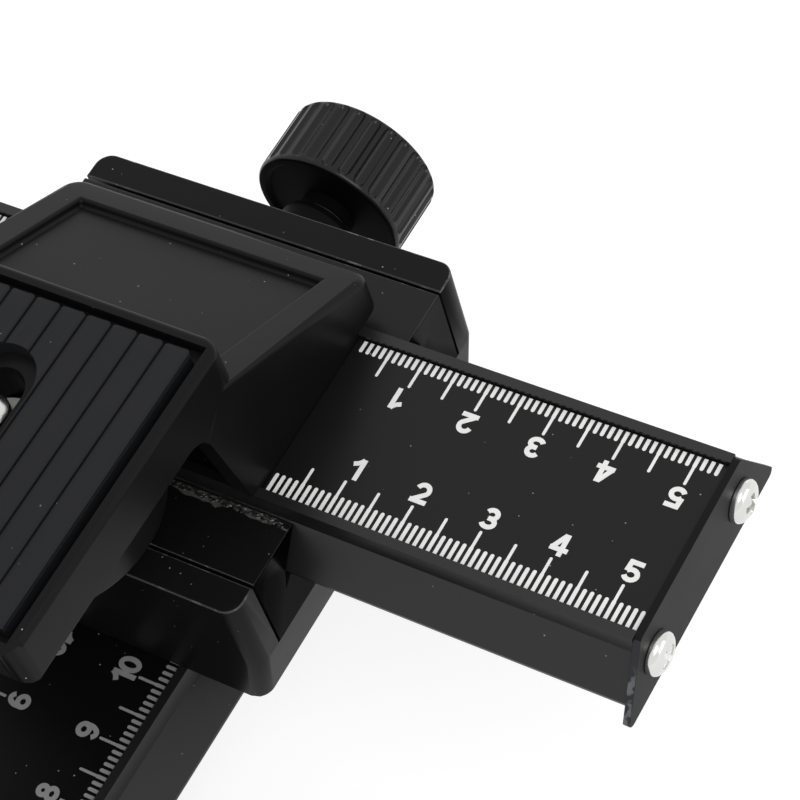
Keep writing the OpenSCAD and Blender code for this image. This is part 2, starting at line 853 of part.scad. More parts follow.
module upper_rail() {
    color("#232427") difference() {
        at_upper() rail();
        at_platform_screws() {
            translate([0, 0, foot_z - cut]) cylinder(r = frame_screw_r + screw_play, h = rail_h + 2 * cut);
            translate([0, 0, foot_z - cut]) cylinder(r = frame_head_r + 0.2, h = head_h + head_recess + cut);
        }
    }
}

module upper_rack() {
    color("silver") at_upper() rack();
}

module upper_rack_screws() {
    color("silver") at_upper() rack_screws();
}

// Two scale plates, one on each side of the camera platform.
module upper_scale_plates() {
    color("#0f1012") at_upper() for (side = [-1, 1])
        translate([side * (plat_half + rail_len / 2) / 2, 0, 0])
            block([-upper_scale_half, -scale_half + scale_play, scale_floor + step],
                  [upper_scale_half, scale_half - scale_play, 0]);
}

module upper_left_plate() {
    color("#2c2d30") at_upper() rotate([0, 0, 180]) end_plate();
}

module upper_right_plate() {
    color("#2c2d30") at_upper() end_plate();
}

module upper_plate_screws() {
    color("gainsboro") at_upper() for (a = [0, 180]) rotate([0, 0, a]) end_screws();
}

// Side view of the platform: foot, leaning leg, overhang and sloping face.
module platform_outline() {
    edge = 1;
    polygon(concat(
        [[toe_y, rim_h], [toe_y, toe_top], [-block_y, slope_top], [-block_y, plat_h]],
        arc([-nose_y + edge, plat_h - edge], edge, 90, 180, 3),
        arc([-nose_y + 2 * edge, plat_under + 2 * edge], 2 * edge, 180, 270, 3),
        arc([-leg_y - leg_lean - leg_fillet, plat_under - leg_fillet], leg_fillet, 90, 0, 5),
        [[-leg_y, rim_h]]
    ));
}

// Side view of the space inside the platform, open below and to the front.
module platform_inside() {
    back = toe_y - plat_wall;
    reach = block_y + (plat_under - slope_inside) / slope;
    polygon([
        [-nose_y - cut, -cut], [back, -cut],
        [back, slope_inside - (back + block_y) * slope],
        [-reach, plat_under], [-nose_y - cut, plat_under]
    ]);
}

// The hole of the camera screw: a slot along Y with round ends.
module slot(half, y0, y1, z0, z1) {
    block([-half, y0, z0], [half, y1, z1]);
    for (y = [y0, y1]) translate([0, y, z0]) cylinder(r = half, h = z1 - z0);
}

module camera_platform() {
    lip_round = 2.6;
    block_round = 3;
    color("#2b2c2f") difference() {
        union() {
            at_upper() difference() {
                intersection() {
                    along_x(plat_w) platform_outline();
                    translate([0, (toe_y - nose_y) / 2, 0]) linear_extrude(plat_h)
                        round_rect(plat_w, toe_y + nose_y, lip_round);
                }
                along_x(2 * inner_half) platform_inside();
                // Round corners of the pad block, down to the sloping face
                intersection() {
                    for (x = [0, 1]) mirror([x, 0, 0]) translate([plat_half, -block_y, 0])
                        linear_extrude(plat_h + cut) difference() {
                            translate([-block_round, -block_round]) square(block_round + cut);
                            translate([-block_round, -block_round]) circle(block_round, $fn = 48);
                        }
                    translate([0, -block_y, slope_top]) rotate([-slope_angle, 0, 0])
                        block([-plat_w, -2 * block_round, 0], [plat_w, block_round, plat_h]);
                }
                // Seat of the rubber pad
                block([-plat_half + lip_w, -nose_y + lip_w, pad_floor],
                      [plat_half - lip_w, -block_y - lip_w, plat_h + cut]);
                slot(slot_half, -slot_front, -slot_rear, 0, plat_h + cut);
                // Bare panel on the sloping face
                translate([0, -block_y, slope_top]) rotate([-slope_angle, 0, 0])
                    block([-plat_half + panel_border, panel_top_border, -panel_depth],
                          [plat_half - panel_border, slope_len - panel_border, cut]);
            }
            at_platform_screws() translate([0, 0, scale_floor])
                cylinder(r = plat_boss_r, h = screw_bite + 0.8);
            // Feet that reach down between the rims
            for (side = [-1, 1])
                at_upper() translate([side * (plat_half + inner_half) / 2, 0, 0])
                    block([-plat_wall / 2, -scale_half + scale_play, scale_floor + step],
                          [plat_wall / 2, scale_half - scale_play, rim_h + step]);
        }
        at_platform_screws() translate([0, 0, scale_floor - cut])
            cylinder(r = frame_screw_r + screw_play, h = screw_bite + cut);
    }
}

module platform_screws() {
    color("silver") at_platform_screws() translate([0, 0, foot_z + head_recess]) difference() {
        union() {
            cylinder(r = frame_head_r, h = head_h);
            cylinder(r = frame_screw_r, h = scale_floor - foot_z - head_recess + screw_bite - 0.5);
        }
        translate([0, 0, -cut]) cylinder(r = 1.25, h = 1.2 + cut, $fn = 6);
    }
}

// The ribbed rubber pad in its seat, with the slot of the camera screw.
module rubber_pad() {
    rib = 2 * pad_x / pad_ribs;
    groove = 0.7;
    valley = pad_top - 0.7;
    color("#3d4046") at_upper() difference() {
        translate([0, -(pad_front + pad_back) / 2, 0]) along_y(pad_front - pad_back)
            polygon(concat(
                [[-pad_x, pad_floor + step]],
                [for (i = [0 : pad_ribs - 1], k = [0 : 3])
                    [-pad_x + (i + [0.12, 0.2, 0.88, 0.96][k]) * rib, [valley, pad_top, pad_top, valley][k]]],
                [[pad_x, valley], [pad_x, pad_floor + step]]
            ));
        slot(pad_slot_half, -slot_front, -slot_rear, pad_floor - cut, pad_top + cut);
    }
}

// ---- Camera screw --------------------------------------------------------

// Places a shape on the axis of the camera screw.
module at_screw() {
    translate([0, upper_y - screw_rest, upper_z]) children();
}

// The washer under the plate, which slides with the screw.
module screw_washer() {
    color("#d8d8d4") at_screw() translate([0, 0, washer_top - washer_t]) difference() {
        cylinder(r = washer_r, h = washer_t);
        translate([0, 0, -cut]) cylinder(r = camera_screw_r + 0.1, h = washer_t + 2 * cut);
    }
}

// The thrust washer on top of the knob, which rises with the screw.
module thrust_washer() {
    color("dimgray") at_screw() translate([0, 0, thrust_z]) difference() {
        cylinder(r = thrust_r, h = thrust_t);
        translate([0, 0, -cut]) cylinder(r = camera_screw_r + 0.1, h = thrust_t + 2 * cut);
    }
}

module camera_screw() {
    seat = 5;
    color("gainsboro") at_screw() translate([0, 0, camera_knob_top - seat]) rotate_extrude() polygon([
        [0, 0], [camera_screw_r, 0], [camera_screw_r, seat + camera_screw_len - 0.8],
        [camera_screw_r - 0.8, seat + camera_screw_len], [0, seat + camera_screw_len]
    ]);
}

// The large plain knob of the camera screw, with a rounded lower edge.
module camera_knob() {
    edge_r = 1;
    seat = 5;
    color("#303136") at_screw() translate([0, 0, camera_knob_bottom]) difference() {
        rotate_extrude($fn = 96) polygon(concat(
            [[0, 0]],
            arc([camera_knob_r - edge_r, edge_r], edge_r, -90, 0, 5),
            arc([camera_knob_r - edge_r, camera_knob_h - edge_r], edge_r, 0, 90, 5),
            [[0, camera_knob_h]]
        ));
        translate([0, 0, camera_knob_h - seat - 0.1])
            cylinder(r = camera_screw_r + screw_play, h = seat + cut);
    }
}

base_shell();
base_guide();
base_guide_screws();
tripod_bush();
lower_bush();
lower_end_bush();
lower_pinion();
lower_shaft_ring();
lower_knob();
lower_knob_screw();
lower_lock_knob();
lower_lock_pad();
lower_rail();
lower_rack();
lower_rack_screws();
lower_scale_plate();
lower_front_plate();
lower_rear_plate();
lower_plate_screws();
cross_shell();
cross_guide();
cross_guide_screws();
cross_mount_screws();
upper_bush();
upper_end_bush();
upper_pinion();
upper_shaft_ring();
upper_knob();
upper_knob_screw();
upper_lock_knob();
upper_lock_pad();
upper_rail();
upper_rack();
upper_rack_screws();
upper_scale_plates();
upper_left_plate();
upper_right_plate();
upper_plate_screws();
camera_platform();
platform_screws();
rubber_pad();
screw_washer();
thrust_washer();
camera_screw();
camera_knob();
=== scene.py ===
"""The looks of a macro focusing rail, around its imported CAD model.

All lengths are in metres, in the frame of the CAD: X along the upper rail, Y along the lower rail, Z up,
with the origin at the tripod thread under the base.
"""

import logging
import math
from collections.abc import Callable, Iterable, Sequence
from dataclasses import dataclass, field
from enum import Enum
from functools import cached_property

import bmesh
import bpy
from mathutils import Matrix, Vector


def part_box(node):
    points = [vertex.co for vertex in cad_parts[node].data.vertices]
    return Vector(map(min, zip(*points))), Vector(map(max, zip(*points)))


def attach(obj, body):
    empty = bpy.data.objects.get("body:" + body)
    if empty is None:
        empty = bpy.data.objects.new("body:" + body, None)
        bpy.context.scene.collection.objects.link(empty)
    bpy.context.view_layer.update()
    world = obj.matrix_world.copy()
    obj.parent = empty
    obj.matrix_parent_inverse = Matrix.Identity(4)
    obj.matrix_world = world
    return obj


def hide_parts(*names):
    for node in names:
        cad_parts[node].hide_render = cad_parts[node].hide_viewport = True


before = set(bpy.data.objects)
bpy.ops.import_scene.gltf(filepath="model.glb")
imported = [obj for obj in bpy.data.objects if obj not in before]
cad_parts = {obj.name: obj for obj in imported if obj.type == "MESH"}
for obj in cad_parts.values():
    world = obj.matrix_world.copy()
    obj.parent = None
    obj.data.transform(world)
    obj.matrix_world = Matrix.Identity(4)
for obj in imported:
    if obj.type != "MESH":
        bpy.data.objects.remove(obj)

log = logging.getLogger("focusing_rail")

MM = 0.001
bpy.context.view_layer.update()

Colour = tuple[float, float, float]
Place = tuple[float, float, float]
Point = tuple[float, float]

WHITE = (1.0, 1.0, 1.0, 1.0)
EVEN = (1.0, 1.0, 1.0)
DUST_CELLS = 560.0  # cells of dust in a metre, each with one speck at most
DUST_SIZE = 0.055  # radius of the largest speck, as a share of a cell
GUIDE_TOPS = (52.4 * MM, 24.5 * MM)


# ---- Node trees ----------------------------------------------------------------------------


class Socket:
    """A node's output that takes part in Python expressions."""

    def __init__(self, graph: "NodeGraph", link: bpy.types.NodeSocket) -> None:
        """Keeps the graph and the Blender socket.

        Args:
            graph: The graph that the socket belongs to.
            link: The output socket of a node.
        """
        self.graph = graph
        self.link = link

    def math(self, operation: str, *others: "Socket | float", clamp: bool = False) -> "Socket":
        """Adds a Math node that has this socket as its first value.

        Args:
            operation: The Math node's operation.
            others: The node's other values.
            clamp: Whether the result is kept from 0 to 1.

        Returns:
            The result.
        """
        values = {0: self, **{i + 1: other for i, other in enumerate(others)}}
        return self.graph.node("ShaderNodeMath", {"operation": operation, "use_clamp": clamp}, values)

    def __add__(self, other: "Socket | float") -> "Socket":
        """The sum."""
        return self.math("ADD", other)

    def __sub__(self, other: "Socket | float") -> "Socket":
        """The difference."""
        return self.math("SUBTRACT", other)

    def __rsub__(self, other: float) -> "Socket":
        """The difference from a number."""
        return self.math("MULTIPLY_ADD", -1.0, other)

    def __mul__(self, other: "Socket | float") -> "Socket":
        """The product."""
        return self.math("MULTIPLY", other)

    def __truediv__(self, other: "Socket | float") -> "Socket":
        """The quotient."""
        return self.math("DIVIDE", other)

    def __rtruediv__(self, other: float) -> "Socket":
        """A number divided by the value."""
        return self.graph.node("ShaderNodeMath", {"operation": "DIVIDE"}, {0: other, 1: self})

    __radd__ = __add__
    __rmul__ = __mul__

    def distance(self, centre: float) -> "Socket":
        """The distance from a number."""
        return (self - centre).math("ABSOLUTE")

    def below(self, limit: "Socket | float", soft: float) -> "Socket":
        """1 where the value is under limit, 0 where it is over limit + soft."""
        over = self - limit
        return over.math("MULTIPLY_ADD", -1.0 / soft, 1.0, clamp=True)

    def above(self, limit: float, soft: float) -> "Socket":
        """1 where the value is over limit + soft, 0 where it is under limit."""
        return (self - limit).math("DIVIDE", soft, clamp=True)


class NodeGraph:
    """Adds nodes to one node tree."""

    def __init__(self, tree: bpy.types.NodeTree) -> None:
        """Keeps the tree.

        Args:
            tree: The node tree that is filled.
        """
        self.tree = tree

    def node(
        self,
        kind: str,
        settings: dict[str, object] | None = None,
        inputs: dict[int | str, object] | None = None,
        output: int | str = 0,
    ) -> Socket:
        """Adds a node, sets it up, and fills its sockets.

        Args:
            kind: The node's type.
            settings: The node's own settings, which are set first.
            inputs: Values or sockets, by the number or name of an input. A list links each of its sockets.
            output: The number or name of the output that is returned.

        Returns:
            The chosen output.
        """
        node = self.tree.nodes.new(kind)
        for key, value in (settings or {}).items():
            setattr(node, key, value)
        for key, value in (inputs or {}).items():
            for item in value if isinstance(value, list) else [value]:
                if isinstance(item, Socket):
                    self.tree.links.new(item.link, node.inputs[key])
                else:
                    node.inputs[key].default_value = item
        return Socket(self, node.outputs[output])


class ShaderGraph(NodeGraph):
    """Builds the node tree of one material or world."""

    def __init__(self, name: str, kind: str = "Material") -> None:
        """Makes an empty material or world.

        Args:
            name: Its name.
            kind: Material or World.
        """
        self.kind = kind
        self.owner = (bpy.data.worlds if kind == "World" else bpy.data.materials).new(name)
        self.owner.use_nodes = True
        super().__init__(self.owner.node_tree)
        self.tree.nodes.clear()

    @cached_property
    def place(self) -> Socket:
        """The place on the piece, in metres."""
        return self.node("ShaderNodeTexCoord", output="Object")

    def axis(self, name: str) -> Socket:
        """One of X, Y and Z of the place on the piece, in metres."""
        return self.node("ShaderNodeSeparateXYZ", None, {0: self.place}, name)

    def noise(self, scale: float, detail: float = 2.0, stretch: Place = EVEN) -> Socket:
        """Noise over the piece.

        Args:
            scale: Bumps in a metre.
            detail: Octaves.
            stretch: How much finer the noise is along each axis.

        Returns:
            The noise, from 0 to 1.
        """
        inputs = {"Vector": self.place, "Scale": stretch}
        where = self.node("ShaderNodeMapping", {"vector_type": "POINT"}, inputs)
        return self.node("ShaderNodeTexNoise", None, {"Vector": where, "Scale": scale, "Detail": detail})

    def mix(self, factor: Socket | float, first: object, second: object) -> Socket:
        """A colour between two colours.

        Args:
            factor: 0 for the first colour, 1 for the second.
            first: A colour or a socket.
            second: A colour or a socket.

        Returns:
            The mixed colour.
        """
        pair = {
            0: factor,
            6: first if isinstance(first, Socket) else (*first, 1.0),
            7: second if isinstance(second, Socket) else (*second, 1.0),
        }
        return self.node("ShaderNodeMix", {"data_type": "RGBA"}, pair, 2)

    def dust(self, share: float) -> Socket:
        """Small round specks of dust.

        Args:
            share: Share of the cells that hold a speck.

        Returns:
            1 on a speck, 0 elsewhere.
        """
        inputs = {"Vector": self.place, "Scale": DUST_CELLS}
        names = ("Distance", "Color")
        near, tint = (self.node("ShaderNodeTexVoronoi", {"feature": "F1"}, inputs, name) for name in names)
        pick, grow = (self.node("ShaderNodeSeparateColor", None, {0: tint}, part) for part in (0, 1))
        reach = grow.math("MULTIPLY_ADD", 0.5 * DUST_SIZE, 0.5 * DUST_SIZE)
        return near.below(reach, 0.3 * DUST_SIZE) * pick.math("LESS_THAN", share)

    def bump(self, height: Socket, distance: float, strength: float = 1.0) -> Socket:
        """A normal from a height.

        Args:
            height: The height, from 0 to 1.
            distance: Metres between the heights 0 and 1.
            strength: How much of it shows.

        Returns:
            The bumped normal.
        """
        inputs = {"Height": height, "Distance": distance, "Strength": strength}
        return self.node("ShaderNodeBump", None, inputs)

    def surface(self, **values: object) -> bpy.types.Material:
        """Ends the graph in a Principled shader.

        Args:
            values: The shader's inputs, with _ for a space in their names.

        Returns:
            The finished material.
        """
        inputs = {key.replace("_", " "): value for key, value in values.items()}
        return self.end(self.node("ShaderNodeBsdfPrincipled", None, inputs))

    def background_rays(self) -> Socket:
        """1 for the rays that show the background, and 0 for those that light the object."""
        rays = ("Camera", "Glossy", "Transmission")
        camera, glossy, through = (self.node("ShaderNodeLightPath", output=f"Is {ray} Ray") for ray in rays)
        return camera + glossy + through

    def end(self, shader: Socket) -> bpy.types.Material | bpy.types.World:
        """Links a shader to the output.

        Args:
            shader: The whole shader.

        Returns:
            The finished material or world.
        """
        last = self.tree.nodes.new(f"ShaderNodeOutput{self.kind}")
        self.tree.links.new(shader.link, last.inputs["Surface"])
        return self.owner


# ---- Finishes ------------------------------------------------------------------------------


def tinted(colour: Colour, factor: float) -> Colour:
    """A colour made darker or lighter."""
    return tuple(min(1.0, factor * part) for part in colour)


@dataclass(frozen=True)
class BlackCoat:
    """A satin black coat with a fine grain, cloudy gloss and a little dust."""

    name: str
    colour: Colour
    roughness: float = 0.42
    grain: float = 3200.0
    relief: float = 5e-6
    dust: float = 0.45
    specular: float = 0.5
    streaks: Place = EVEN
    cloud: float = 90.0
    cloud_gloss: float = 0.12

    def build(self) -> bpy.types.Material:
        """Makes the material.

        Returns:
            The material.
        """
        graph = ShaderGraph(self.name)
        cloud = graph.noise(self.cloud, 3.0, self.streaks)
        fine = graph.noise(self.grain, 2.0, self.streaks)
        dust = graph.dust(self.dust)
        base = graph.mix(cloud, tinted(self.colour, 0.86), tinted(self.colour, 1.16))
        gloss = cloud.math("MULTIPLY_ADD", self.cloud_gloss, self.roughness - self.cloud_gloss / 2)
        return graph.surface(
            Base_Color=graph.mix(dust * 0.7, base, (0.45, 0.45, 0.43)),
            Roughness=gloss + dust * 0.3,
            Specular_IOR_Level=self.specular,
            Normal=graph.bump(fine, self.relief),
        )


@dataclass(frozen=True)
class WornEdge:
    """The rubbed edge of a coated piece, where bright metal shows in places."""

    name: str
    coat: Colour
    metal: Colour = (0.36, 0.37, 0.39)
    worn: float = 0.62
    chips: float = 700.0
    patches: float = 70.0
    roughness: float = 0.40

    def build(self) -> bpy.types.Material:
        """Makes the material.

        Returns:
            The material.
        """
        graph = ShaderGraph(self.name)
        chips = graph.noise(self.chips, 4.0).above(self.worn, 0.08)
        bare = chips * graph.noise(self.patches, 2.0).above(0.42, 0.25)
        return graph.surface(
            Base_Color=graph.mix(bare, self.coat, self.metal),
            Roughness=bare.math("MULTIPLY_ADD", -0.06, self.roughness),
            Metallic=bare * 0.85,
            Specular_IOR_Level=0.25,
            Normal=graph.bump(chips, 2e-5, 0.6),
        )


@dataclass(frozen=True)
class Metal:
    """A bare or plated metal with fine turning marks."""

    name: str
    colour: Colour
    roughness: float
    marks: float = 0.04
    lines: float = 1400.0
    stains: float = 160.0

    def build(self) -> bpy.types.Material:
        """Makes the material.

        Returns:
            The material.
        """
        graph = ShaderGraph(self.name)
        lines = graph.noise(self.lines, 3.0)
        stain = graph.noise(self.stains, 3.0)
        return graph.surface(
            Base_Color=graph.mix(stain, tinted(self.colour, 0.85), self.colour),
            Metallic=1.0,
            Roughness=lines.math("MULTIPLY_ADD", self.marks * 2, self.roughness - self.marks),
            Normal=graph.bump(lines, 3e-6),
        )


@dataclass(frozen=True)
class Paint:
    """The pale filling of the scale marks, slightly uneven in tone."""

    name: str
    colour: Colour
    cloud: float = 900.0
    roughness: float = 0.55

    def build(self) -> bpy.types.Material:
        """Makes the material.

        Returns:
            The material.
        """
        graph = ShaderGraph(self.name)
        base = graph.mix(graph.noise(self.cloud, 3.0), tinted(self.colour, 0.80), self.colour)
        return graph.surface(Base_Color=base, Roughness=self.roughness)


@dataclass(frozen=True)
class RibbedRubber:
    """Bluish black rubber with fine moulding marks along the ribs and dust on top."""

    name: str
    colour: Colour
    grain: float = 2600.0
    cloud: float = 140.0
    roughness: float = 0.46
    specular: float = 0.17

    def build(self) -> bpy.types.Material:
        """Makes the material.

        Returns:
            The material.
        """
        graph = ShaderGraph(self.name)
        along = graph.noise(self.grain, 3.0, (1.0, 0.08, 1.0))
        cloud = graph.noise(self.cloud, 3.0)
        base = graph.mix(cloud, tinted(self.colour, 0.80), self.colour)
        return graph.surface(
            Base_Color=graph.mix(graph.dust(0.5) * 0.5, base, (0.40, 0.40, 0.40)),
            Roughness=along.math("MULTIPLY_ADD", 0.14, self.roughness),
            Specular_IOR_Level=self.specular,
            Normal=graph.bump(along, 1.2e-5),
        )


@dataclass(frozen=True)
class ChippedGuide:
    """The black guide, with its paint chipped along the groove's upper edges."""

    name: str
    colour: Colour
    line_y: float
    line_z: float
    grain: float = 3000.0
    chips: float = 620.0
    patches: float = 95.0
    cloud: float = 90.0
    reach: float = 2.1 * MM
    drop: float = 1.1 * MM
    roughness: float = 0.33
    specular: float = 0.21

    def build(self) -> bpy.types.Material:
        """Makes the material.

        Returns:
            The material.
        """
        graph = ShaderGraph(self.name)
        fine = graph.noise(self.grain, 2.0)
        rough = graph.noise(self.chips, 4.0, (0.45, 1.0, 1.0))
        patch = graph.noise(self.patches, 2.0).above(0.30, 0.16)
        beside = graph.axis("Y").distance(self.line_y).below(rough * self.reach, 0.2 * MM)
        beside = beside * graph.axis("Z").above(self.line_z - self.drop, 0.5 * MM)
        chip = beside * patch * rough.above(0.40, 0.08)
        base = graph.mix(graph.noise(self.cloud, 3.0), self.colour, tinted(self.colour, 1.2))
        base = graph.mix(graph.dust(0.5) * 0.5, base, (0.40, 0.40, 0.38))
        return graph.surface(
            Base_Color=graph.mix(chip, base, (0.16, 0.16, 0.15)),
            Roughness=chip.math("MULTIPLY_ADD", 0.16, self.roughness),
            Metallic=chip * 0.6,
            Specular_IOR_Level=self.specular,
            Normal=graph.bump(fine * 0.25 + chip * rough, 2.5e-5),
        )


RAIL_BLACK = (0.0085, 0.0085, 0.009)
KNOB_COAT = {"roughness": 0.21, "grain": 2600.0, "relief": 6e-6, "dust": 0.15, "specular": 0.24}
PLATFORM_COAT = {"roughness": 0.36, "grain": 2400.0, "relief": 8e-6}
STREAKS = {"X": (0.12, 1.0, 1.0), "Y": (1.0, 0.12, 1.0)}  # along the rails
BRUSHED = {"X": (0.06, 1.0, 1.0), "Y": (1.0, 0.06, 1.0)}  # along the knobs


class Finish(Enum):
    """The finishes of the object's pieces."""

    COAT = BlackCoat("coat_black", (0.0075, 0.0076, 0.0074), 0.34, specular=0.085)
    COAT_EDGE = WornEdge("coat_edge", (0.042, 0.042, 0.043), (0.32, 0.32, 0.33), 0.53)
    GUIDE = ChippedGuide("chipped_guide_black", (0.005, 0.005, 0.0052), 68.45 * MM, GUIDE_TOPS[0])
    BASE_GUIDE = BlackCoat("base_guide_black", (0.0055, 0.0055, 0.0057), 0.34, specular=0.21)
    RAIL = BlackCoat("rail_black", RAIL_BLACK, 0.34, specular=0.41, streaks=STREAKS["X"])
    LOWER_RAIL = BlackCoat("lower_rail_black", RAIL_BLACK, 0.34, specular=0.26, streaks=STREAKS["Y"])
    SCALE = BlackCoat("scale_black", (0.0055, 0.0055, 0.0058), 0.34, 4200.0, 3e-6, 0.6, 0.22)
    PLATE = BlackCoat("plate_grey", (0.007, 0.007, 0.0075), 0.44, specular=0.085)
    PLATE_SIDE = WornEdge("plate_sheared_side", (0.017, 0.018, 0.020), (0.24, 0.25, 0.27), 0.50)
    PLATFORM = BlackCoat("platform_black", (0.0062, 0.0062, 0.0065), specular=0.088, **PLATFORM_COAT)
    # painted shade: the platform's sides that look along X get a darker copy of its coat
    PLATFORM_SIDE = BlackCoat("platform_side_black", (0.0048, 0.0048, 0.005), specular=0.085, **PLATFORM_COAT)
    # painted shade: the bushes are near black and glossless for the shade behind the knobs
    BUSH = BlackCoat("bush_black", (0.0015, 0.0015, 0.0015), 0.5, specular=0.03)
    # painted shade: the shells' walls and knob bosses get a darker, less glossy copy of the coat for the
    # shade they lie in
    COAT_SIDE = BlackCoat("coat_side_black", (0.0045, 0.0046, 0.0045), 0.36, specular=0.045)
    # painted shade: the guides' short ends get a near-black, almost glossless copy of the coat for the shade
    # they lie in
    GUIDE_SIDE = BlackCoat("guide_side_black", (0.0015, 0.0015, 0.0015), 0.36, specular=0.015)
    # painted shade: the lower scale plate gets a darker, less glossy copy of the scale's coat
    LOWER_SCALE = BlackCoat("lower_scale_black", (0.0026, 0.0026, 0.0028), 0.34, 4200.0, 3e-6, 0.5, 0.085)
    KNOB = BlackCoat("plain_knob_black", (0.007, 0.007, 0.0073), 0.36, 2600.0, 6e-6, 0.15, 0.14)
    # partly the face's own more matt finish, partly painted shade: its colour is darker for the shade between
    # knob and carriage
    KNOB_FACE = BlackCoat("knob_face_black", (0.002, 0.002, 0.0019), 0.62, 2600.0, 6e-6, 0.1, 0.04)
    UPPER_KNOB = BlackCoat("upper_knob_black", (0.008, 0.0079, 0.008), streaks=BRUSHED["Y"], **KNOB_COAT)
    LOWER_KNOB = BlackCoat("lower_knob_black", (0.008, 0.0079, 0.008), streaks=BRUSHED["X"], **KNOB_COAT)
    RUBBER = RibbedRubber("pad_rubber", (0.0105, 0.011, 0.0126))
    MARKS = Paint("mark_white", (0.93, 0.93, 0.92))
    # painted shade: the lower rail's marks are grey rather than white, for the shade they lie in
    LOWER_MARKS = Paint("lower_mark_grey", (0.24, 0.24, 0.245))
    CHIPS = Metal("chipped_metal", (0.13, 0.13, 0.12), 0.45, 0.08)
    CHROME = Metal("screw_chrome", (0.74, 0.74, 0.72), 0.14)
    STEEL = Metal("turned_steel", (0.55, 0.55, 0.54), 0.28, 0.06)
    DARK_STEEL = Metal("dark_steel", (0.10, 0.10, 0.11), 0.36)
    BRASS = Metal("turned_brass", (0.62, 0.46, 0.20), 0.26, 0.05)
    NYLON = Paint("natural_nylon", (0.60, 0.59, 0.55))

    def material(self) -> bpy.types.Material:
        """The finish's material, made when it is first asked for."""
        if self.name not in MATERIALS:
            MATERIALS[self.name] = self.value.build()
        return MATERIALS[self.name]


MATERIALS: dict[str, bpy.types.Material] = {}


# ---- Meshes --------------------------------------------------------------------------------


def linked(name: str, data: bpy.types.ID) -> bpy.types.Object:
    """Puts data into the scene as an object.

    Args:
        name: The object's name.
        data: A mesh, a lamp or a camera.

    Returns:
        The object.
    """
    item = bpy.data.objects.new(name, data)
    bpy.context.scene.collection.objects.link(item)
    return item


def new_piece(name: str, mesh: bpy.types.Mesh, *finishes: Finish) -> bpy.types.Object:
    """Puts a mesh into the scene as a piece.

    Args:
        name: The piece's name.
        mesh: Its mesh, in the CAD's frame.
        finishes: The finishes of its material slots, in order.

    Returns:
        The piece.
    """
    mesh.name = name
    piece = linked(name, mesh)
    for index, finish in enumerate(finishes):
        if index < len(mesh.materials):
            mesh.materials[index] = finish.material()
        else:
            mesh.materials.append(finish.material())
    return piece


def settle(piece: bpy.types.Object, body: str, slot: str, *nodes: str) -> bpy.types.Object:
    """Lets a finished piece ride on its body and stand for CAD nodes.

    Args:
        piece: The piece, with its place in its mesh.
        body: The body that it rides on.
        slot: The record's material slot. It is not used.
        nodes: The CAD nodes that it replaces.

    Returns:
        The piece.
    """
    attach(piece, body)
    if nodes:
        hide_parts(*nodes)
    log.info("%s rides on %s, %d faces", piece.name, body, len(piece.data.polygons))
    return piece


def baked(piece: bpy.types.Object) -> bpy.types.Mesh:
    """The mesh of a helper after its modifiers.

    Args:
        piece: A helper with modifiers, which is removed.

    Returns:
        The evaluated mesh.
    """
    view = bpy.context.evaluated_depsgraph_get()
    mesh = bpy.data.meshes.new_from_object(piece.evaluated_get(view), depsgraph=view)
    bpy.data.objects.remove(piece)
    return mesh


def as_mesh(shape: bmesh.types.BMesh, name: str, place: Matrix | None = None) -> bpy.types.Mesh:
    """Turns closed shapes into a mesh whose faces point outwards.

    Args:
        shape: The shapes, which are freed.
        name: The mesh's name.
        place: Where they go in the CAD's frame.

    Returns:
        The mesh.
    """
    bmesh.ops.recalc_face_normals(shape, faces=shape.faces)
    shape.transform(place or Matrix.Identity(4))
    mesh = bpy.data.meshes.new(name)
    shape.to_mesh(mesh)
    shape.free()
    return mesh


def lofted(shape: bmesh.types.BMesh, rows: Sequence[Sequence[Place]], closed: bool = False) -> None:
    """Adds a skin over rings of points.

    Args:
        shape: The shape that it is added to.
        rows: The rings, with the same number of points in each.
        closed: Whether the last ring meets the first one. Otherwise both get a face.
    """
    rings = [[shape.verts.new(point) for point in row] for row in rows]
    for low, high in zip(rings, rings[1:] + rings[:1] if closed else rings[1:]):
        for i in range(len(low)):
            j = (i + 1) % len(low)
            shape.faces.new((low[i], low[j], high[j], high[i]))
    if not closed:
        shape.faces.new(rings[0][::-1])
        shape.faces.new(rings[-1])


def prism(outline: Sequence[Point], low: float, high: float) -> bpy.types.Mesh:
    """An upright solid.

    Args:
        outline: Its outline in plan.
        low: Height of its bottom.
        high: Height of its top.

    Returns:
        The mesh.
    """
    shape = bmesh.new()
    lofted(shape, [[(x, y, z) for x, y in outline] for z in (low, high)])
    return as_mesh(shape, "prism")


def smooth(mesh: bpy.types.Mesh, degrees: float) -> None:
    """Shades a mesh smooth, apart from its sharp edges.

    Args:
        mesh: The mesh.
        degrees: Edges sharper than this stay sharp.
    """
    mesh.polygons.foreach_set("use_smooth", [True] * len(mesh.polygons))
    mesh.set_sharp_from_angle(angle=math.radians(degrees))


CORNER_RADIUS = 2.35 * MM  # of a carriage's corners, in plan
POINT_SIZE = (0.37 * MM, 0.22 * MM)  # of the small point, along the carriage and across it


